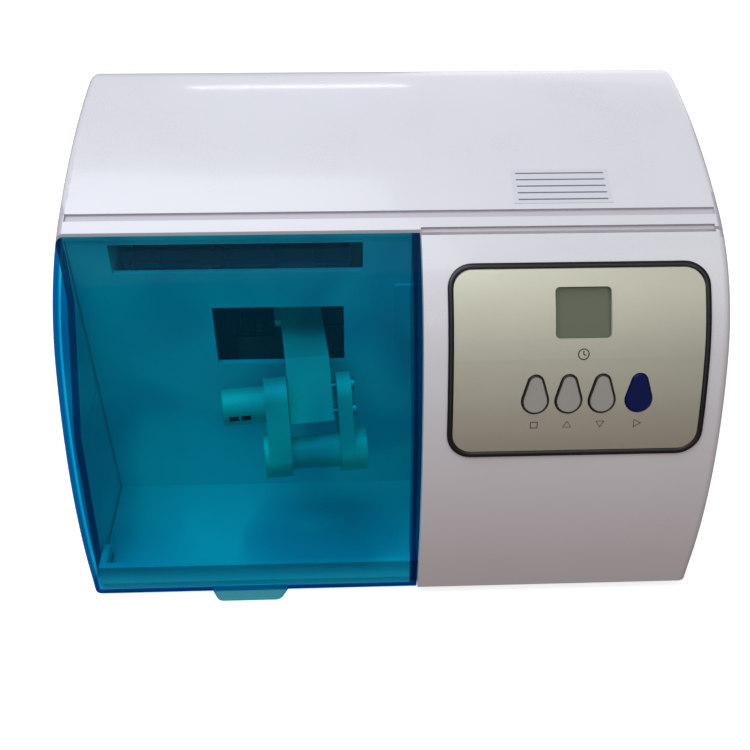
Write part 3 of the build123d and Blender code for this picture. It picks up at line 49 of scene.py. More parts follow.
# %% [markdown]
# ## The case surface
# The case is one profile pushed sideways: an upright front, three arcs and a rounded back corner. Printed
# marks and the panel's border lie on it. They are drawn flat, with x across and y as the run up the
# surface, and a node group then bends them onto the arcs. Shrinkwrapping them onto the CAD mesh would also
# work, but the rule keeps their thickness exact.

# %% numbers of the profile, in mm and degrees
CASE_BOTTOM = 4.0
CASE_FRONT = -69.2351
FRONT_RISE = 12.0
BENDS = ((180.0, 26.0), (68.0, 42.0), (240.0, 17.0), (14.0, 95.0))   # radius, turn
whole_run = FRONT_RISE + sum(radius * math.radians(turn) for radius, turn in BENDS)
print("run over the front and the roof in mm:", round(whole_run, 1))

# %% [markdown]
# ## Colours and nodes
# Colours are written as sRGB hex, as a colour picker shows them, and one function turns them into the
# linear values that shaders work in. One more function adds any node, in a material or in a geometry
# group, with its settings and links. Some nodes use one name for several sockets, so these go by number: on
# a Mix node set to colour, input 0 is the share, 6 and 7 are the two colours, and output 2 is the result.

# %% helpers for nodes
def linear(code):
    """sRGB hex to linear RGBA."""
    parts = [int(code[i:i + 2], 16) / 255 for i in (1, 3, 5)]
    return [p / 12.92 if p <= 0.04045 else ((p + 0.055) / 1.055) ** 2.4 for p in parts] + [1.0]


def add_node(tree, kind, settings=None, inputs=None):
    """Adds a node. Inputs are values, or (node, output) links, by name or by index."""
    made = tree.nodes.new(kind)
    for key, value in (settings or {}).items():
        setattr(made, key, value)
    for key, value in (inputs or {}).items():
        if isinstance(value, tuple) and hasattr(value[0], "outputs"):
            tree.links.new(value[0].outputs[value[1]], made.inputs[key])
        else:
            made.inputs[key].default_value = value
    return made


def new_material(name):
    material = bpy.data.materials.new(name)
    material.use_nodes = True
    material.node_tree.nodes.clear()
    return material, material.node_tree


def paint(piece, *materials):
    piece.data.materials.clear()
    for material in materials:
        piece.data.materials.append(material)


# %% [markdown]
# ## Moulded plastic and print
# Most of the mixer is injection-moulded ABS. Its tool was spark-eroded and then polished more or less, and
# the plastic copies that: under a lamp the reflection has a faint orange-peel edge. One helper makes all of
# them. A fine noise drives the roughness and a very shallow bump, and a broad noise gives the slight
# mottling and handling marks of a used case. The noise reads Object coordinates, so its scale is in real
# millimetres: a grain of 0.3 mm is a noise scale of 1 / 0.0003. A real grain is 0.02 to 0.05 mm. That is
# finer than a pixel of the render, so it is drawn as coarse as it needs to show.

# %% helper for moulded plastic
def moulded(name, code, roughness=0.3, grain=0.3, bump=0.01, mottle=0.04, coat=0.0, shine=0.5):
    """Injection-moulded plastic; grain and bump in mm, mottle as a share of the colour."""
    material, tree = new_material(name)
    place = add_node(tree, "ShaderNodeTexCoord")
    fine = add_node(tree, "ShaderNodeTexNoise",
                    inputs={"Vector": (place, "Object"), "Scale": 1 / (grain * MM), "Detail": 2.0})
    broad = add_node(tree, "ShaderNodeTexNoise",
                     inputs={"Vector": (place, "Object"), "Scale": 1 / (45 * MM), "Detail": 3.0})
    full = linear(code)
    worn = [v * (1 - 2 * mottle) for v in full[:3]] + [1.0]
    colour = add_node(tree, "ShaderNodeMix", {"data_type": "RGBA"}, {0: (broad, "Fac"), 6: worn, 7: full})
    touch = add_node(tree, "ShaderNodeMath", {"operation": "ADD"}, {0: (fine, "Fac"), 1: (broad, "Fac")})
    gloss = add_node(tree, "ShaderNodeMapRange",
                     inputs={"Value": (touch, 0), "From Min": 0.7, "From Max": 1.3,
                             "To Min": roughness - 0.05, "To Max": roughness + 0.05})
    relief = add_node(tree, "ShaderNodeBump",
                      inputs={"Height": (fine, "Fac"), "Strength": 0.3, "Distance": bump * MM})
    plastic = add_node(tree, "ShaderNodeBsdfPrincipled",
                       inputs={"Base Color": (colour, 2), "Roughness": (gloss, 0), "Normal": (relief, 0),
                               "Specular IOR Level": shine, "Coat Weight": coat, "Coat Roughness": 0.08})
    add_node(tree, "ShaderNodeOutputMaterial", inputs={"Surface": (plastic, 0)})
    return material


# %% case, chamber and fittings
# Case: glossy ABS in a cool white. A soft lamp reflection, with a thin second gloss from the polished tool.
white_abs = moulded("white_abs", "#e6e4e4", roughness=0.3, grain=0.35, bump=0.008, coat=0.35)
# Inside its grooves: the same ABS, unpolished and one step greyer; the grey is painted shade.
groove_painted_shade = moulded("groove_painted_shade", "#c9c4c8", roughness=0.4, grain=0.35, bump=0.008)
# Chamber: ABS from a lightly textured tool, so the walls glow evenly and mirror nothing.
liner_abs = moulded("liner_abs", "#e2e3e4", roughness=0.42, grain=0.25, bump=0.02)
# Inlet, switches, fuse holder, fan: black ABS with a spark-eroded texture, dark with a dull sheen.
# The same black also fills the knob's two square holes, as painted shade.
black_abs_and_shade = moulded("black_abs_and_shade", "#1c1c1e", roughness=0.42, grain=0.2, bump=0.03)
# Start key: ABS painted navy, matt enough to stay deep under the front lamp.
navy_paint = moulded("navy_paint", "#001350", roughness=0.3, grain=0.15, shine=0.15)
# Other keys: ABS painted silver, a satin grey close to the film around it.
silver_paint = moulded("silver_paint", "#a9a79c", roughness=0.38, grain=0.12)
# Feet and isolators: moulded nitrile rubber, nearly black, with no clear reflection at all.
nitrile_rubber = moulded("nitrile_rubber", "#18181a", roughness=0.75, grain=0.5, bump=0.05)
# Boards: glass-epoxy under green solder mask, glossy over a slight weave.
solder_mask = moulded("solder_mask", "#1c5a34", roughness=0.38, grain=0.4)
# Capsule: thin polypropylene, milky, with a waxy gloss.
polypropylene = moulded("polypropylene", "#bfcab6", roughness=0.3, grain=0.2)
print("plastics:", len(bpy.data.materials))

# %% inks and label film
# Screen-printed ink lies in a film of some hundredths of a millimetre. It is even and almost without grain;
# black and brown ink are a little glossy, white and grey ink are matt.
black_ink = moulded("black_ink", "#141416", roughness=0.3, grain=0.12, bump=0.004)
# Brown ink also covers the sides of the silver keys further down; there it is painted shade.
brown_ink_and_shade = moulded("brown_ink_and_shade", "#2c2420", roughness=0.4, grain=0.1, bump=0.004)
white_ink = moulded("white_ink", "#d8d8d4", roughness=0.5, grain=0.1, bump=0.004)
grey_ink = moulded("grey_ink", "#76767a", roughness=0.5, grain=0.1, bump=0.004)
# Label: clear polyester film with white glue behind it, slightly duller than the case.
polyester_film = moulded("polyester_film", "#dddde0", roughness=0.35, grain=0.2, bump=0.006)
print("plastics and inks:", len(bpy.data.materials))

# %% [markdown]
# ## Metals
# Ground steel, painted aluminium, copper wire and the black-plated sheet of the cradle differ in colour,
# gloss and grain. Tool marks run one way, so the noise is squeezed along one axis of the piece with a
# Mapping node. Real marks are 0.02 to 0.1 mm wide, too fine for the render, and drawn two to four times as
# coarse. Tarnish lies in patches about 12 mm across. A metal keeps Blender's default IOR, because its
# colour gives the reflection.

# %% helper for metals
def metal(name, code, roughness, grain=0.3, squeeze=(1, 1, 1), bump=0.006, dull=0.85, metallic=1.0):
    """Bare or plated metal; grain and bump in mm, squeeze stretches the marks along an axis."""
    material, tree = new_material(name)
    place = add_node(tree, "ShaderNodeTexCoord")
    turned = add_node(tree, "ShaderNodeMapping", inputs={"Vector": (place, "Object"), "Scale": squeeze})
    fine = add_node(tree, "ShaderNodeTexNoise",
                    inputs={"Vector": (turned, 0), "Scale": 1 / (grain * MM), "Detail": 3.0})
    broad = add_node(tree, "ShaderNodeTexNoise",
                     inputs={"Vector": (place, "Object"), "Scale": 1 / (12 * MM), "Detail": 3.0})
    gloss = add_node(tree, "ShaderNodeMapRange",
                     inputs={"Value": (fine, "Fac"), "From Min": 0.3, "From Max": 0.7,
                             "To Min": roughness - 0.06, "To Max": roughness + 0.08})
    relief = add_node(tree, "ShaderNodeBump",
                      inputs={"Height": (fine, "Fac"), "Strength": 0.3, "Distance": bump * MM})
    full = linear(code)
    tarnish = [v * dull for v in full[:3]] + [1.0]
    colour = add_node(tree, "ShaderNodeMix", {"data_type": "RGBA"}, {0: (broad, "Fac"), 6: tarnish, 7: full})
    shiny = add_node(tree, "ShaderNodeBsdfPrincipled",
                     inputs={"Base Color": (colour, 2), "Metallic": metallic, "Roughness": (gloss, 0),
                             "Normal": (relief, 0)})
    add_node(tree, "ShaderNodeOutputMaterial", inputs={"Surface": (shiny, 0)})
    return material


# %% metals
# Shafts, pins, screws, springs: ground or drawn steel. A bright streak along the marks, darker beside it.
ground_steel = metal("ground_steel", "#b8babd", 0.28, squeeze=(0.1, 1, 1))
# Cradle: pressed sheet, black zinc plated. Nearly black with a broad dull sheen.
black_zinc = metal("black_zinc", "#24262a", 0.55, grain=0.6)
# Motor can: deep-drawn sheet, phosphated grey, with drawing marks up its side.
phosphated_steel = metal("phosphated_steel", "#3e4146", 0.45, squeeze=(1, 1, 0.1))
# Arm, jaws, knob: die-cast aluminium under a cream stoved paint, so only a little of it acts as metal.
painted_aluminium = metal("painted_aluminium", "#dfe0c8", 0.5, grain=0.25, metallic=0.25)
# Windings and commutator: enamelled and bare copper, warm and fairly glossy.
copper = metal("copper", "#b0683a", 0.35)
# Inlet pins: turned brass, pale gold.
brass = metal("brass", "#c9a45a", 0.3)
# Panel: polyester film, metallised and brushed sideways. It smears the lamps into a soft vertical fade.
brushed_film = metal("brushed_film", "#cccbb8", 0.45, grain=0.16, squeeze=(0.12, 1, 1), bump=0.003,
                     dull=0.95, metallic=0.85)
print("metals ready, materials so far:", len(bpy.data.materials))

# %% [markdown]
# ## The tinted lid: its dye
# The lid is injection-moulded acrylic, dyed blue-green, 2.5 mm thick. A refracting glass shader would darken
# the chamber, because light would have to find its way in through caustics. A Transparent shader with a
# tint lets light straight through both faces. The tint varies slowly, as the wall of a moulding does. Near
# the
# lower edge it turns paler: that is a painted glow, for light led along the wall that comes out there. The
# tint deepens where the wall is seen at a slant, because the light's way through the dye is longer there.

# %% lid: dye
LID_LEFT, LID_RIGHT, LID_BOTTOM = -107.5, 8.4, 4.8
dyed_acrylic, tree = new_material("dyed_acrylic")
place = add_node(tree, "ShaderNodeTexCoord")
axes = add_node(tree, "ShaderNodeSeparateXYZ", inputs={0: (place, "Object")})
cloud = add_node(tree, "ShaderNodeTexNoise",
                 inputs={"Vector": (place, "Object"), "Scale": 1 / (38 * MM), "Detail": 1.5,
                         "Distortion": 0.6})
patch = add_node(tree, "ShaderNodeMapRange",
                 inputs={"Value": (cloud, "Fac"), "From Min": 0.36, "From Max": 0.62})
wall = add_node(tree, "ShaderNodeMix", {"data_type": "RGBA"},
                {0: (patch, 0), 6: linear("#2ac8e0"), 7: linear("#32dcec")})
# Painted glow: low_glow makes the tint paler and brighter towards the lower edge, in the mix below.
low_glow = add_node(tree, "ShaderNodeMapRange",
                    inputs={"Value": (axes, 2), "From Min": (LID_BOTTOM + 13) * MM,
                            "From Max": (LID_BOTTOM + 4) * MM})
wall = add_node(tree, "ShaderNodeMix", {"data_type": "RGBA"},
                {0: (low_glow, 0), 6: (wall, 2), 7: linear("#40faff")})
facing = add_node(tree, "ShaderNodeLayerWeight", inputs={"Blend": 0.5})
slant = add_node(tree, "ShaderNodeMath", {"operation": "POWER"}, {0: (facing, "Facing"), 1: 6.0})
dyed = add_node(tree, "ShaderNodeMix", {"data_type": "RGBA"},
                {0: (slant, 0), 6: (wall, 2), 7: linear("#0c8098")})
print("nodes for the dye:", len(tree.nodes))

# %% [markdown]
# ## The lid's rim and tab
# Where the rim is seen end-on, light runs a long way through the dye. So a strip as wide as the wall, along
# both ends and the lower edge, is nearly navy blue. The strip comes from Object coordinates, and the
# Geometry node's Normal keeps it off the flat end walls themselves. The finger tab stands clear of the case
# in front, with white behind it, and looks greyer.

# %% lid: rim and tab
half_lid = (LID_RIGHT - LID_LEFT) / 2
from_middle = add_node(tree, "ShaderNodeMath", {"operation": "SUBTRACT"},
                       {0: (axes, 0), 1: (LID_LEFT + LID_RIGHT) / 2 * MM})
sideways = add_node(tree, "ShaderNodeMath", {"operation": "ABSOLUTE"}, {0: (from_middle, 0)})
ends = add_node(tree, "ShaderNodeMapRange",
                inputs={"Value": (sideways, 0), "From Min": (half_lid - 2.9) * MM,
                        "From Max": (half_lid - 2.3) * MM})
surface = add_node(tree, "ShaderNodeNewGeometry")
normal = add_node(tree, "ShaderNodeSeparateXYZ", inputs={0: (surface, "Normal")})
flank = add_node(tree, "ShaderNodeMath", {"operation": "ABSOLUTE"}, {0: (normal, 0)})
frontal = add_node(tree, "ShaderNodeMapRange",
                   inputs={"Value": (flank, 0), "From Min": 0.97, "From Max": 0.8})
end_strip = add_node(tree, "ShaderNodeMath", {"operation": "MULTIPLY"}, {0: (ends, 0), 1: (frontal, 0)})
low_strip = add_node(tree, "ShaderNodeMapRange",
                     inputs={"Value": (axes, 2), "From Min": (LID_BOTTOM + 2.6) * MM,
                             "From Max": (LID_BOTTOM + 2.0) * MM})
rim_share = add_node(tree, "ShaderNodeMath", {"operation": "MAXIMUM"},
                     {0: (end_strip, 0), 1: (low_strip, 0)})
rimmed = add_node(tree, "ShaderNodeMix", {"data_type": "RGBA"},
                  {0: (rim_share, 0), 6: (dyed, 2), 7: linear("#0070a8")})
tab_share = add_node(tree, "ShaderNodeMapRange",
                     inputs={"Value": (axes, 1), "From Min": (CASE_FRONT - 0.1) * MM,
                             "From Max": (CASE_FRONT - 0.3) * MM})
tabbed = add_node(tree, "ShaderNodeMix", {"data_type": "RGBA"},
                  {0: (tab_share, 0), 6: (rimmed, 2), 7: linear("#7fb8bf")})
print("nodes for dye, rim and tab:", len(tree.nodes))

# %% [markdown]
# ## The lid's gloss
# A glossy plastic is mixed over the tint for the reflections. Plastic reflects little from the front and
# almost all light at a grazing angle. A node that works from the index of refraction would take the inner
# face for the inside of thick glass and mirror it totally. So the share is the fifth power of Layer Weight's
# Facing, which follows nearly the same curve and treats both faces alike. Along the lower edge the same
# plastic also carries a painted glow for light that leaves the wall there, so its share rises and its colour
# turns bright.
# Rays that light the chamber skip the gloss and get a paler tint, or the white liner would be too dark.

# %% lid: gloss and the kinds of ray
GLOW_SHARE = 0.45
rays = add_node(tree, "ShaderNodeLightPath")
passing = add_node(tree, "ShaderNodeMix", {"data_type": "RGBA"},
                   {0: (rays, "Is Camera Ray"), 6: linear("#e4f8fc"), 7: (tabbed, 2)})
see = add_node(tree, "ShaderNodeBsdfTransparent", inputs={"Color": (passing, 2)})
gloss = add_node(tree, "ShaderNodeMapRange",
                 inputs={"Value": (cloud, "Fac"), "From Min": 0.3, "From Max": 0.7, "To Min": 0.05,
                         "To Max": 0.14})
grazing = add_node(tree, "ShaderNodeMath", {"operation": "POWER"}, {0: (facing, "Facing"), 1: 5.0})
gloss_share = add_node(tree, "ShaderNodeMapRange",
                       inputs={"Value": (grazing, 0), "To Min": 0.04, "To Max": 0.85})
edged = add_node(tree, "ShaderNodeMath", {"operation": "MAXIMUM"}, {0: (rim_share, 0), 1: (tab_share, 0)})
inside = add_node(tree, "ShaderNodeMath", {"operation": "SUBTRACT"}, {0: 1.0, 1: (edged, 0)})
# Painted glow: near the lower edge, away from the rim and tab, the skin turns bright cyan and its share
# rises.
glow = add_node(tree, "ShaderNodeMath", {"operation": "MULTIPLY"}, {0: (low_glow, 0), 1: (inside, 0)})
painted_glow_colour = add_node(tree, "ShaderNodeMix", {"data_type": "RGBA"},
                 {0: (glow, 0), 6: linear("#0487ab"), 7: linear("#00daff")})
skin = add_node(tree, "ShaderNodeBsdfPrincipled", inputs={"Base Color": (painted_glow_colour, 2), "Roughness": (gloss, 0)})
share = add_node(tree, "ShaderNodeMath", {"operation": "MULTIPLY_ADD", "use_clamp": True},
                 {0: (glow, 0), 1: GLOW_SHARE, 2: (gloss_share, 0)})
unshaded = add_node(tree, "ShaderNodeMath", {"operation": "SUBTRACT"}, {0: 1.0, 1: (rays, "Is Shadow Ray")})
skin_share = add_node(tree, "ShaderNodeMath", {"operation": "MULTIPLY"}, {0: (share, 0), 1: (unshaded, 0)})
mixed = add_node(tree, "ShaderNodeMixShader", inputs={0: (skin_share, 0), 1: (see, 0), 2: (skin, 0)})
add_node(tree, "ShaderNodeOutputMaterial", inputs={"Surface": (mixed, 0)})
print("nodes in the lid's material:", len(tree.nodes))

# %% [markdown]
# ## The display
# The display is switched off, so only its grey-green polariser shows, under a window of clear moulded
# polycarbonate. The window lets most of the light through, and its own thin haze and gloss lift the dark
# colour under it. The polariser is a stretched film: flat, matt, with a faint grain of 0.5 mm.

# %% display glass and polariser
polycarbonate, tree = new_material("polycarbonate")
see = add_node(tree, "ShaderNodeBsdfTransparent", inputs={"Color": linear("#eef0ea")})
skin = add_node(tree, "ShaderNodeBsdfPrincipled", inputs={"Base Color": linear("#7c836c"), "Roughness": 0.12})
facing = add_node(tree, "ShaderNodeLayerWeight", inputs={"Blend": 0.5})
grazing = add_node(tree, "ShaderNodeMath", {"operation": "POWER"}, {0: (facing, "Facing"), 1: 5.0})
share = add_node(tree, "ShaderNodeMapRange", inputs={"Value": (grazing, 0), "To Min": 0.35, "To Max": 1.0})
mixed = add_node(tree, "ShaderNodeMixShader", inputs={0: (share, 0), 1: (see, 0), 2: (skin, 0)})
add_node(tree, "ShaderNodeOutputMaterial", inputs={"Surface": (mixed, 0)})
polariser = moulded("polariser", "#a3a88e", roughness=0.32, grain=0.5, bump=0.003, mottle=0.05)
print("materials so far:", len(bpy.data.materials))

# %% [markdown]
# ## Camera
# The photograph looks down on the front at about forty degrees, a little from the left of the middle. The
# place, the turn and the lens come from fitting the model's corners to the photograph's. A vertical shift of
# one pixel finishes the fit.

# %% camera
camera_data = bpy.data.cameras.new("camera")
camera_data.sensor_width = 36.0
camera_data.lens = 45.9
camera_data.shift_y = 0.0013
camera_data.clip_start = 0.01
camera = bpy.data.objects.new("camera", camera_data)
scene.collection.objects.link(camera)
forward = Vector((0.034026, 0.765288, -0.642788))
right = Vector((0.999270, -0.037232, 0.008569))
up = Vector((0.017374, 0.642610, 0.765997))
turn = Matrix((right, up, -forward)).transposed().to_4x4()
stand = Vector((-17.1325, -216.0093 + CASE_FRONT, 281.8854 + CASE_BOTTOM)) * MM
camera.matrix_world = Matrix.Translation(stand) @ turn
scene.camera = camera
print("camera at", [round(v, 4) for v in camera.location])

# %% [markdown]
# ## Light
# The top of the case is bright and its lower front falls to a warm grey, so the main light is a large lamp
# overhead, a little to the left. Two weaker ones stand in front: front_top lifts the fascia, and front_fill
# is what the silver panel mirrors in its upper half. A long narrow lamp far behind gives the thin highlight
# along the back of the roof, and rear_fill keeps the back from going black in the views from there.

# %% lamps
def area_lamp(name, place, aim, size_x, size_y, watts, code):
    data = bpy.data.lights.new(name, "AREA")
    data.shape = "RECTANGLE"
    data.size, data.size_y = size_x, size_y
    data.energy = watts
    data.color = linear(code)[:3]
    lamp = bpy.data.objects.new(name, data)
    lamp.location = place
    lamp.rotation_mode = "QUATERNION"
    lamp.rotation_quaternion = (Vector(aim) - Vector(place)).to_track_quat("-Z", "Y")
    scene.collection.objects.link(lamp)


# name, place, aim, the two sizes in metres, watts, colour
area_lamp("overhead", (-0.35, -0.05, 1.05), (0, 0, 0.1), 1.0, 1.0, 9.6, "#ecf1ff")
area_lamp("front_top", (0.28, -0.55, 0.88), (0.05, -0.03, 0.08), 0.8, 0.6, 1.25, "#fffbf2")
area_lamp("tube", (-0.07, 0.86, 0.745), (-0.04, 0.03, 0.144), 0.3, 0.012, 0.2, "#ffffff")
area_lamp("rear_fill", (0.5, 1.1, 0.4), (0, 0, 0.05), 0.9, 0.9, 3.0, "#ffffff")
area_lamp("front_fill", (0.12, -1.1, 0.5), (0, 0, 0.05), 0.9, 0.9, 1.5, "#ffffff")
print("lamps:", [lamp.name for lamp in bpy.data.lights])

# %% [markdown]
# ## Background and floor
# The camera sees white paper, from the world and from the floor. The case must not see it: lit paper all
# round would wash out the fade on its lower front and turn the silver panel white. The real one stood in a
# dim room, and what came back up from below was darker and warmer, as from a wooden bench. So Light Path's
# Is Camera Ray picks paper or room in both materials. Rays that pass through glass count with the camera's.
# Glossy rays are left out on purpose, because the metal in the photograph reflects the dim bench.

# %% world
world = bpy.data.worlds.new("studio")
scene.world = world
world.use_nodes = True
tree = world.node_tree
tree.nodes.clear()
rays = add_node(tree, "ShaderNodeLightPath")
room = add_node(tree, "ShaderNodeBackground", inputs={"Color": linear("#e8ecf4"), "Strength": 0.25})
paper = add_node(tree, "ShaderNodeBackground", inputs={"Color": (0.98, 0.98, 0.98, 1), "Strength": 1.0})
seen = add_node(tree, "ShaderNodeMath", {"operation": "MAXIMUM"},
                {0: (rays, "Is Camera Ray"), 1: (rays, "Is Transmission Ray")})
sky = add_node(tree, "ShaderNodeMixShader", inputs={0: (seen, 0), 1: (room, 0), 2: (paper, 0)})
add_node(tree, "ShaderNodeOutputWorld", inputs={"Surface": (sky, 0)})
print("nodes in the world:", len(tree.nodes))

# %% floor
reach = 3.0
floor_mesh = bpy.data.meshes.new("floor")
floor_mesh.from_pydata([(-reach, -reach, 0), (reach, -reach, 0), (reach, reach, 0), (-reach, reach, 0)], [],
                       [(0, 1, 2, 3)])
floor = bpy.data.objects.new("floor", floor_mesh)
scene.collection.objects.link(floor)
# Matt paper. Its own light brings it to white, and the diffuse part under it keeps the object's shadow.
matt_paper, tree = new_material("matt_paper")
rays = add_node(tree, "ShaderNodeLightPath")
white = add_node(tree, "ShaderNodeBsdfDiffuse", inputs={"Color": linear("#c4c4c4")})
lift = add_node(tree, "ShaderNodeEmission", inputs={"Color": (1, 1, 1, 1), "Strength": 0.78})
shown = add_node(tree, "ShaderNodeAddShader", inputs={0: (white, 0), 1: (lift, 0)})
bench = add_node(tree, "ShaderNodeBsdfDiffuse", inputs={"Color": linear("#8c6a62")})
both = add_node(tree, "ShaderNodeMixShader",
                inputs={0: (rays, "Is Camera Ray"), 1: (bench, 0), 2: (shown, 0)})
add_node(tree, "ShaderNodeOutputMaterial", inputs={"Surface": (both, 0)})
paint(floor, matt_paper)
print("floor reaches", reach, "m to each side")

# %% [markdown]
# ## Carried-over solids
# Every CAD node gets a finish. The dictionary below is the paint list; the pieces made further down
# replace some of the nodes and bring their own finish.

# %% paint list
looks = {
    white_abs: ["top_cover", "front_fascia", "base_tray"],
    dyed_acrylic: ["lid"],
    liner_abs: ["chamber_liner"],
    brushed_film: ["panel_overlay"],
    black_ink: ["panel_border"],
    polycarbonate: ["lcd_window"],
    polariser: ["lcd_module"],
    navy_paint: ["button_start"],
    silver_paint: ["button_mode", "button_up", "button_down"],
    solder_mask: ["control_board", "power_board"],
    black_abs_and_shade: ["interlock_switch", "tact_switches", "brush_holders", "power_inlet", "switch_frame",
                "switch_rocker", "fuse_holder", "fuse_cap", "cooling_fan", "motor_magnets"],
    ground_steel: ["lid_hinge_pin", "board_screws", "cradle_bolts", "drive_shaft", "shaft_bearings",
                   "swash_collar", "swash_bearing", "guide_rods", "spring_stem", "jaw_spring",
                   "restraint_springs", "case_screws", "fascia_screws", "armature_core", "transformer_core"],
    black_zinc: ["motor_cradle"],
    phosphated_steel: ["motor_can", "motor_end_bell"],
    copper: ["armature_winding", "commutator", "transformer_winding"],
    brass: ["inlet_pins"],
    painted_aluminium: ["swing_arm", "fixed_jaw", "sliding_jaw", "jaw_knob"],
    polypropylene: ["capsule_body", "capsule_cap"],
    nitrile_rubber: ["rubber_feet", "rubber_isolators"],
}
for material, names in looks.items():
    for name in names:
        paint(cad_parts[name], material)
print("painted", sum(len(names) for names in looks.values()), "of", len(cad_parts), "nodes")

# %% [markdown]
# ## Soft edges
# CAD edges are knife-sharp, and no moulding or casting is. A sharp edge also catches no light. So the
# visible shells are copied, their triangles joined back into flat faces, and their edges rounded with a
# Bevel modifier: a tenth of a millimetre on the keys, a quarter to a third elsewhere. A Weighted Normal
# modifier then gives each vertex the direction of its largest faces, so that big flat walls stay flat
# beside smooth curves. The copy stands in for the CAD node, in the same place.
#
# Some faces of a copy get a second finish, which is painted shade: the walls of the case's two grooves,
# the sides of the silver keys, which lie in shade, and the two square holes in the thumb knob. A small
# test picks each of them.

# %% tests that pick faces
bend_radius = BENDS[1][0]
bend_start = math.radians(90 - BENDS[0][1])
BEND_Y = CASE_FRONT + BENDS[0][0] * (1 - math.sin(bend_start)) + bend_radius * math.sin(bend_start)
BEND_Z = CASE_BOTTOM + FRONT_RISE + (BENDS[0][0] - bend_radius) * math.cos(bend_start)
GROOVE_DEPTHS, GROOVE_ANGLES = (0.12, 1.4), (19, 31)      # mm below the case, degrees round the second arc
KEY_PRESS = Vector((0, -0.925, 0.38))                     # straight out of the panel at the keys
KNOB_MIDDLE = Vector((-50.97, -39.85, 67.45)) * MM
KNOB_AXIS = Vector((math.cos(math.radians(6)), math.sin(math.radians(6)), 0))
KNOB_HALF_LENGTH, KNOB_SKIN = 7.0 * MM, 6.1 * MM


def in_groove(face):
    """True for a face a little below the case's second arc, near its upper end, where the grooves run."""
    far, high = face.center.y / MM - BEND_Y, face.center.z / MM - BEND_Z
    sunk = bend_radius - math.hypot(far, high)
    angle = math.degrees(math.atan2(-far, high))
    return GROOVE_DEPTHS[0] < sunk < GROOVE_DEPTHS[1] and GROOVE_ANGLES[0] < angle < GROOVE_ANGLES[1]


def on_key_side(face):
    """True for a face that doesn't look out along the way the keys are pressed."""
    return face.normal.dot(KEY_PRESS) < 0.93


def in_knob_hole(face):
    """True for a face of the two square holes in the knob's round side."""
    offset = face.center - KNOB_MIDDLE
    along = offset.dot(KNOB_AXIS)
    return abs(along) < KNOB_HALF_LENGTH and (offset - along * KNOB_AXIS).length < KNOB_SKIN


print("second arc turns about y, z in mm:", round(BEND_Y, 2), round(BEND_Z, 2))

# %% helper for rounded copies
def softened(node, body, material, second=None, chosen=None, width=0.25, angle=32):
    """A copy of a CAD node with rounded edges that replaces it; chosen faces get the second material."""
    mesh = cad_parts[node].data.copy()
    net = bmesh.new()
    net.from_mesh(mesh)
    bmesh.ops.remove_doubles(net, verts=net.verts, dist=1e-6)
    bmesh.ops.dissolve_limit(net, angle_limit=math.radians(0.6), verts=net.verts, edges=net.edges)
    net.to_mesh(mesh)
    net.free()
    piece = bpy.data.objects.new(node + "_soft", mesh)
    scene.collection.objects.link(piece)
    paint(piece, material, second or material)
    for face in mesh.polygons:
        face.use_smooth = True
        face.material_index = int(bool(chosen) and chosen(face))
    print(node, "faces:", len(mesh.polygons), "of them in the second material:",
          sum(face.material_index for face in mesh.polygons))
    bevel = piece.modifiers.new("bevel", "BEVEL")
    bevel.width = width * MM
    bevel.segments = 2
    bevel.limit_method = "ANGLE"
    bevel.angle_limit = math.radians(angle)
    weighted = piece.modifiers.new("weighted", "WEIGHTED_NORMAL")
    weighted.mode = "FACE_AREA"
    weighted.weight = 100
    weighted.keep_sharp = True
    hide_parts(node)
    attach(piece, body)
    return piece


# %% rounded copies
for node in ("top_cover", "front_fascia"):
    # The walls of the grooves get a greyer ABS as painted shade.
    softened(node, "case", white_abs, groove_painted_shade, in_groove)
for node in ("button_mode", "button_up", "button_down"):
    # The keys' sides, picked by on_key_side, get brown as painted shade.
    softened(node, node, silver_paint, brown_ink_and_shade, on_key_side, width=0.1)
softened("base_tray", "case", white_abs)
softened("lid", "lid", dyed_acrylic, width=0.3)
for node, body in (("swing_arm", "arm"), ("fixed_jaw", "arm"), ("sliding_jaw", "sliding_jaw")):
    softened(node, body, painted_aluminium, width=0.35)
# The knob's two square holes get black as painted shade.
softened("jaw_knob", "sliding_jaw", painted_aluminium, black_abs_and_shade, in_knob_hole, width=0.2)

# %% [markdown]
# ## Print on a curved case, first part: a group that draws
# Print, the label's lines and the panel's border are all strips that follow a line on the case. They could
# be modelled one by one, but a rule makes them all: Geometry Nodes turn a flat outline into a strip of a
# given width and height, and repeat it at a given pitch. The copies are used for the label's ruled lines.
# The group ends in Realize Instances and Set Material, so that the result is plain mesh with its finish.

# %% group that draws strips
def new_group(name, sockets):
    tree = bpy.data.node_groups.new(name, "GeometryNodeTree")
    tree.interface.new_socket("Geometry", in_out="INPUT", socket_type="NodeSocketGeometry")
    for label, kind, value in sockets:
        socket = tree.interface.new_socket(label, in_out="INPUT", socket_type="NodeSocket" + kind)
        if value is not None:
            socket.default_value = value
    tree.interface.new_socket("Geometry", in_out="OUTPUT", socket_type="NodeSocketGeometry")
    return tree, tree.nodes.new("NodeGroupInput"), tree.nodes.new("NodeGroupOutput")


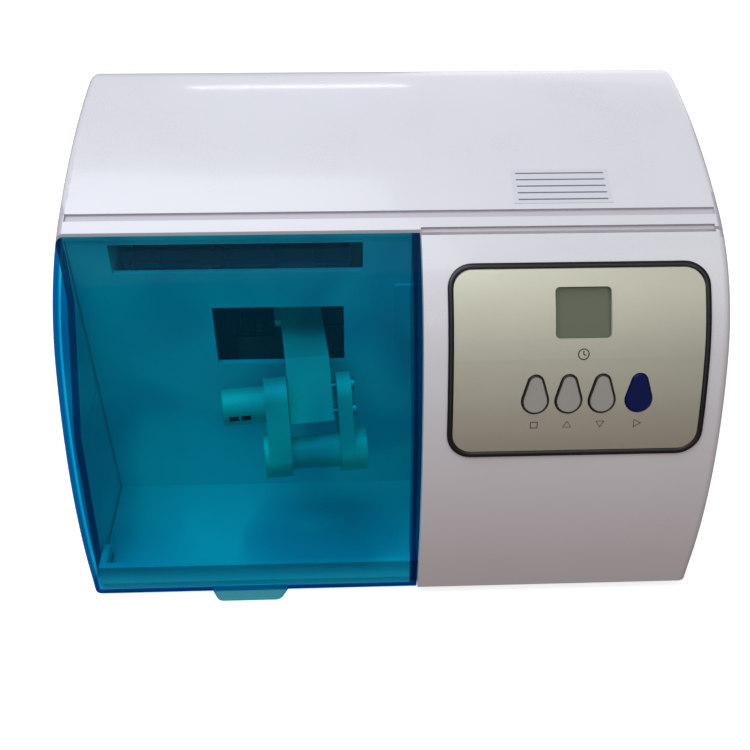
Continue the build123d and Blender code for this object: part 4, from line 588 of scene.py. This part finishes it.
strip_group, start, end = new_group("strip_along_outline", (
    ("Width", "Float", 0.7 * MM), ("Height", "Float", 0.1 * MM), ("Copies", "Int", 1),
    ("Pitch", "Vector", None), ("Material", "Material", None)))
tree = strip_group
line = add_node(tree, "GeometryNodeMeshToCurve", inputs={"Mesh": (start, "Geometry")})
level = add_node(tree, "GeometryNodeSetCurveNormal", {"mode": "Z_UP"}, {0: (line, 0)})
section = add_node(tree, "GeometryNodeCurvePrimitiveQuadrilateral",
                   inputs={"Width": (start, "Width"), "Height": (start, "Height")})
strip = add_node(tree, "GeometryNodeCurveToMesh",
                 inputs={"Curve": (level, 0), "Profile Curve": (section, 0), "Fill Caps": True})
row = add_node(tree, "GeometryNodeMeshLine", {"mode": "OFFSET"},
               {"Count": (start, "Copies"), "Offset": (start, "Pitch")})
repeated = add_node(tree, "GeometryNodeInstanceOnPoints",
                    inputs={"Points": (row, 0), "Instance": (strip, 0)})
real = add_node(tree, "GeometryNodeRealizeInstances", inputs={"Geometry": (repeated, 0)})
inked = add_node(tree, "GeometryNodeSetMaterial",
                 inputs={"Geometry": (real, 0), "Material": (start, "Material")})
tree.links.new(inked.outputs[0], end.inputs[0])
print("nodes in the drawing group:", len(strip_group.nodes))

# %% [markdown]
# ## Second part: a group that bends onto the case
# The flat y is the run up the surface. Along each arc the angle falls linearly with that run, so one Map
# Range per arc gives it, and its sine and cosine give depth and height. A Map Range is clamped, so a point
# below an arc gets the arc's first angle and a point past it the last, and the arcs simply add up. The
# input Lift stands the print off the surface, along the surface's own direction.

# %% group that bends: the arcs
wrap_group, start, end = new_group("bend_onto_case", (("Lift", "Float", 0.0), ("Material", "Material", None)))
tree = wrap_group
place = add_node(tree, "GeometryNodeInputPosition")
flat = add_node(tree, "ShaderNodeSeparateXYZ", inputs={0: (place, 0)})
height = add_node(tree, "ShaderNodeMath", {"operation": "MINIMUM"}, {0: (flat, 1), 1: FRONT_RISE * MM})
depth = add_node(tree, "ShaderNodeMath", {"operation": "MULTIPLY"}, {0: (flat, 1), 1: 0.0})
lean = add_node(tree, "ShaderNodeMath", {"operation": "MULTIPLY"}, {0: (flat, 1), 1: 0.0})
run, slope, depth_zero, height_zero = FRONT_RISE, 90.0, CASE_FRONT, CASE_BOTTOM
for radius, bend in BENDS:
    length = radius * math.radians(bend)
    angle = add_node(tree, "ShaderNodeMapRange",
                     inputs={"Value": (flat, 1), "From Min": run * MM, "From Max": (run + length) * MM,
                             "To Min": math.radians(slope), "To Max": math.radians(slope - bend)})
    sine = add_node(tree, "ShaderNodeMath", {"operation": "SINE"}, {0: (angle, 0)})
    cosine = add_node(tree, "ShaderNodeMath", {"operation": "COSINE"}, {0: (angle, 0)})
    depth = add_node(tree, "ShaderNodeMath", {"operation": "MULTIPLY_ADD"},
                     {0: (sine, 0), 1: -radius * MM, 2: (depth, 0)})
    height = add_node(tree, "ShaderNodeMath", {"operation": "MULTIPLY_ADD"},
                      {0: (cosine, 0), 1: radius * MM, 2: (height, 0)})
    lean = add_node(tree, "ShaderNodeMath", {"operation": "ADD"}, {0: (lean, 0), 1: (angle, 0)})
    depth_zero += radius * math.sin(math.radians(slope))
    height_zero -= radius * math.cos(math.radians(slope))
    lean = add_node(tree, "ShaderNodeMath", {"operation": "SUBTRACT"}, {0: (lean, 0), 1: math.radians(slope)})
    run, slope = run + length, slope - bend
print("arcs:", len(BENDS), "ending at a run in mm of", round(run, 1))

# %% group that bends: the lift and the new place
out = add_node(tree, "ShaderNodeMath", {"operation": "ADD"}, {0: (flat, 2), 1: (start, "Lift")})
tilt = add_node(tree, "ShaderNodeMath", {"operation": "ADD"}, {0: (lean, 0), 1: math.pi / 2})
tilt_sine = add_node(tree, "ShaderNodeMath", {"operation": "SINE"}, {0: (tilt, 0)})
tilt_cosine = add_node(tree, "ShaderNodeMath", {"operation": "COSINE"}, {0: (tilt, 0)})
back = add_node(tree, "ShaderNodeMath", {"operation": "MULTIPLY"}, {0: (tilt_sine, 0), 1: (out, 0)})
raised = add_node(tree, "ShaderNodeMath", {"operation": "MULTIPLY_ADD"},
                  {0: (tilt_cosine, 0), 1: (out, 0), 2: (height, 0)})
far = add_node(tree, "ShaderNodeMath", {"operation": "SUBTRACT"}, {0: (depth, 0), 1: (back, 0)})
far_place = add_node(tree, "ShaderNodeMath", {"operation": "ADD"}, {0: (far, 0), 1: depth_zero * MM})
high_place = add_node(tree, "ShaderNodeMath", {"operation": "ADD"}, {0: (raised, 0), 1: height_zero * MM})
point = add_node(tree, "ShaderNodeCombineXYZ", inputs={0: (flat, 0), 1: (far_place, 0), 2: (high_place, 0)})
moved = add_node(tree, "GeometryNodeSetPosition",
                 inputs={"Geometry": (start, "Geometry"), "Position": (point, 0)})
real = add_node(tree, "GeometryNodeRealizeInstances", inputs={"Geometry": (moved, 0)})
inked = add_node(tree, "GeometryNodeSetMaterial",
                 inputs={"Geometry": (real, 0), "Material": (start, "Material")})
tree.links.new(inked.outputs[0], end.inputs[0])
print("nodes in the bending group:", len(wrap_group.nodes))

# %% [markdown]
# ## Running the groups
# One helper puts a flat drawing through the groups and keeps the result as a plain mesh. A modifier's input
# is set by the socket's identifier, before the object is first evaluated. The modifiers go with the drawing,
# and faces are turned to point outwards, because a swept line may come out the other way round.

# %% helper that runs the groups
def from_nodes(name, verts, edges, faces, steps, body, material, turned=None):
    """Runs node groups on a flat drawing, in mm, and keeps the result as a plain mesh, turned by a matrix."""
    drawing = bpy.data.meshes.new(name)
    drawing.from_pydata([Vector(v) * MM for v in verts], edges, faces)
    holder = bpy.data.objects.new(name + "_drawing", drawing)
    scene.collection.objects.link(holder)
    for group, values in steps:
        modifier = holder.modifiers.new(group.name, "NODES")
        modifier.node_group = group
        for socket in group.interface.items_tree:
            if socket.in_out == "INPUT" and socket.name == "Material":
                modifier[socket.identifier] = material
            elif socket.in_out == "INPUT" and socket.name in values:
                modifier[socket.identifier] = values[socket.name]
    ready = holder.evaluated_get(bpy.context.evaluated_depsgraph_get())
    mesh = bpy.data.meshes.new_from_object(ready)
    bpy.data.objects.remove(holder)
    net = bmesh.new()
    net.from_mesh(mesh)
    bmesh.ops.recalc_face_normals(net, faces=net.faces)
    net.to_mesh(mesh)
    net.free()
    if turned:
        mesh.transform(turned)
    piece = bpy.data.objects.new(name, mesh)
    scene.collection.objects.link(piece)
    paint(piece, material)
    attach(piece, body)
    print(name, "faces:", len(mesh.polygons))
    return piece


def ring(points):
    """Edges that join the points in a closed loop."""
    return [(i, (i + 1) % len(points)) for i in range(len(points))]


# %% [markdown]
# ## The panel's border
# A glossy black line, 1.8 mm wide, frames the silver film. On the real panel it is printed on the film's
# edge and stands a little proud. It is drawn as a rounded rectangle, swept, and bent onto the case, with
# points close enough together for the bend to look round. It takes the place of the CAD border.

# %% panel border
PANEL_X, PANEL_WIDTH = 58.4, 83.9
PANEL_LOW, PANEL_HIGH, PANEL_CORNER = 60.4, 124.5, 8.0
BORDER, BORDER_HEIGHT, BORDER_LIFT = 1.8, 0.6, 0.35


def rounded_box(middle_x, middle_y, width, height, corner, steps, gap):
    """Outline of a rounded rectangle, with extra points at most `gap` mm apart."""
    points = []
    for quarter, (side_x, side_y) in enumerate(((1, 1), (-1, 1), (-1, -1), (1, -1))):
        for i in range(steps + 1):
            angle = math.radians(90 * quarter + 90 * i / steps)
            points.append((middle_x + side_x * (width / 2 - corner) + corner * math.cos(angle),
                           middle_y + side_y * (height / 2 - corner) + corner * math.sin(angle), 0.0))
    dense = []
    for i, here in enumerate(points):
        there = points[(i + 1) % len(points)]
        parts = max(1, math.ceil(math.dist(here, there) / gap))
        dense += [tuple(a + (b - a) * k / parts for a, b in zip(here, there)) for k in range(parts)]
    return dense


outline = rounded_box(PANEL_X, (PANEL_LOW + PANEL_HIGH) / 2, PANEL_WIDTH - BORDER,
                      PANEL_HIGH - PANEL_LOW - BORDER, PANEL_CORNER - BORDER / 2, 8, 2.5)
border = from_nodes("panel_border_print", outline, ring(outline), [],
                    [(strip_group, {"Width": BORDER * MM, "Height": BORDER_HEIGHT * MM}),
                     (wrap_group, {"Lift": BORDER_LIFT * MM})],
                    "case", black_ink)
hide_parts("panel_border")

# %% [markdown]
# ## Key outlines
# Each silver key has a thin dark outline printed near its edge. An egg shape is a wide arc below and a small
# one above, joined by their common tangents, so a formula draws it. The outline rides on its key and goes
# down with it.

# %% key outlines
KEY_XS = (44.6, 55.4, 66.2, 78.2)
KEY_RUN, KEY_WIDTH, KEY_HEIGHT, KEY_TIP = 82.1, 8.5, 12.8, 2.5
FILM_TOP, KEY_TOP = 0.55, 0.98
OUTLINE_INSET, OUTLINE_WIDTH, OUTLINE_HEIGHT = 0.25, 0.4, 0.16


def egg(x, run, grow, steps=14):
    """Outline of a key: a wide arc below, a small one above, joined by their tangents."""
    wide, tip = KEY_WIDTH / 2 + grow, KEY_TIP + grow
    low, high = run - KEY_HEIGHT / 2 + KEY_WIDTH / 2, run + KEY_HEIGHT / 2 - KEY_TIP
    lift = math.asin((wide - tip) / (high - low))
    points = []
    for middle, radius, first, last in ((high, tip, lift, math.pi - lift),
                                        (low, wide, math.pi - lift, 2 * math.pi + lift)):
        for i in range(steps + 1):
            angle = first + (last - first) * i / steps
            points.append((x + radius * math.cos(angle), middle + radius * math.sin(angle), 0.0))
    return points


for key, x in zip(("mode", "up", "down"), KEY_XS):
    outline = egg(x, KEY_RUN, -OUTLINE_INSET)
    from_nodes("key_ring_" + key, outline, ring(outline), [],
               [(strip_group, {"Width": OUTLINE_WIDTH * MM, "Height": OUTLINE_HEIGHT * MM}),
                (wrap_group, {"Lift": KEY_TOP * MM})],
               "button_" + key, brown_ink_and_shade)


# %% [markdown]
# ## Pictograms
# Plain signs say what the display and the keys are for: a clock below the display, and a square, a triangle
# up, a triangle down and a play triangle below the keys. Each is a few closed loops and open lines, printed
# in brown ink on the film.

# %% pictograms
PRINT_WIDTH, PRINT_HEIGHT, PRINT_LIFT = 0.34, 0.08, 0.03


def circle(x, y, radius, steps=24):
    turns = [2 * math.pi * i / steps for i in range(steps)]
    return [(x + radius * math.cos(turn), y + radius * math.sin(turn), 0.0) for turn in turns]


def flat_line(*corners):
    """Corners in x and y as points of the flat drawing."""
    return [(x, y, 0.0) for x, y in corners]


def mark(name, loops, open_lines=()):
    """Closed loops and open lines, in flat mm, printed on the film."""
    verts, edges = [], []
    for loop in loops:
        edges += [(a + len(verts), b + len(verts)) for a, b in ring(loop)]
        verts += loop
    for points in open_lines:
        edges += [(len(verts) + i, len(verts) + i + 1) for i in range(len(points) - 1)]
        verts += points
    from_nodes(name, verts, edges, [],
               [(strip_group, {"Width": PRINT_WIDTH * MM, "Height": PRINT_HEIGHT * MM}),
                (wrap_group, {"Lift": (FILM_TOP + PRINT_LIFT) * MM})],
               "case", brown_ink_and_shade)


mark("mark_clock", [circle(59.6, 95.2, 1.7)], [flat_line((59.6, 96.3), (59.6, 95.2), (60.4, 94.8))])
mark("mark_mode", [flat_line((43.5, 70.6), (45.7, 70.6), (45.7, 72.6), (43.5, 72.6))])
mark("mark_up", [flat_line((54.1, 70.7), (56.7, 70.7), (55.4, 72.8))])
mark("mark_down", [flat_line((64.9, 72.6), (67.5, 72.6), (66.2, 70.5))])
mark("mark_start", [flat_line((77.3, 70.4), (77.3, 73.0), (79.6, 71.7))])

# %% [markdown]
# ## The label on the roof
# A film label with five ruled lines to write on is stuck to the roof at the right. The film is a fine grid
# with a little thickness, bent onto the case like the print. Its two sheets and its rim are made as faces
# here, and the lines are one strip that the drawing group repeats.

# %% label film
LABEL_LEFT, LABEL_RIGHT, LABEL_LOW, LABEL_HIGH = 39.8, 72.3, 146.4, 161.0
LABEL_THICKNESS, LABEL_LIFT = 0.09, 0.02
columns, rows = 16, 12
verts, faces = [], []
for layer in (0.0, LABEL_THICKNESS):
    for j in range(rows + 1):
        for i in range(columns + 1):
            verts.append((LABEL_LEFT + (LABEL_RIGHT - LABEL_LEFT) * i / columns,
                          LABEL_LOW + (LABEL_HIGH - LABEL_LOW) * j / rows, layer))
layer_size = (rows + 1) * (columns + 1)
for j in range(rows):
    for i in range(columns):
        a = j * (columns + 1) + i
        quad = (a, a + 1, a + columns + 2, a + columns + 1)
        faces += [quad[::-1], tuple(v + layer_size for v in quad)]
rim = [i for i in range(columns + 1)]
rim += [j * (columns + 1) + columns for j in range(1, rows + 1)]
rim += [rows * (columns + 1) + i for i in range(columns - 1, -1, -1)]
rim += [j * (columns + 1) for j in range(rows - 1, 0, -1)]
faces += [(a, b, b + layer_size, a + layer_size) for a, b in zip(rim, rim[1:] + rim[:1])]
from_nodes("roof_label", verts, [], faces, [(wrap_group, {"Lift": LABEL_LIFT * MM})],
           "case", polyester_film)

# %% label lines
LINES, LINE_PITCH, LINE_MARGIN, FIRST_LINE, LINE_LIFT = 5, 2.8, 1.5, 1.6, 0.125
from_nodes("roof_label_lines",
           flat_line((LABEL_LEFT + LINE_MARGIN, LABEL_LOW + FIRST_LINE),
                     (LABEL_RIGHT - LINE_MARGIN, LABEL_LOW + FIRST_LINE)),
           [(0, 1)], [],
           [(strip_group, {"Width": 0.5 * MM, "Height": 0.06 * MM, "Copies": LINES,
                           "Pitch": (0, LINE_PITCH * MM, 0)}),
            (wrap_group, {"Lift": LINE_LIFT * MM})],
           "case", grey_ink)

# %% [markdown]
# ## Marks on the mains switch
# The rocker has the usual bar and ring for on and off, in white, one on each half of its face. The case's
# surface doesn't reach there, so the bending group is no help. They are drawn flat, and a matrix turns
# their mesh onto the two halves, which lean towards each other.

# %% rocker marks
def facing_back(place, along):
    """Matrix that takes a flat drawing onto a face at the back of the case."""
    rise = Vector(along).normalized()
    across = Vector((-1, 0, 0))
    turned = Matrix((across, rise, across.cross(rise))).transposed().to_4x4()
    return Matrix.Translation(Vector(place) * MM) @ turned


ROCKER_X = -22.0
LOWER_HALF, UPPER_HALF = (0, -0.017, 1), (0, 0.423, 0.906)      # up the two halves of its face
bar, loop = flat_line((0, -1.3), (0, 1.3)), circle(0, 0, 1.2)
marks = (("bar", bar, [(0, 1)], (ROCKER_X, 71.46, 33.0), LOWER_HALF),
         ("ring", loop, ring(loop), (ROCKER_X, 72.72, 38.4), UPPER_HALF))
for name, verts, edges, place, along in marks:
    from_nodes("rocker_" + name, verts, edges, [],
               [(strip_group, {"Width": OUTLINE_WIDTH * MM, "Height": PRINT_HEIGHT * MM})],
               "rocker", white_ink, turned=facing_back(place, along))

# %% [markdown]
# ## Finish
# The view transform is Standard, so that a colour renders about as it is written.

# %% finish
scene.view_settings.view_transform = "Standard"
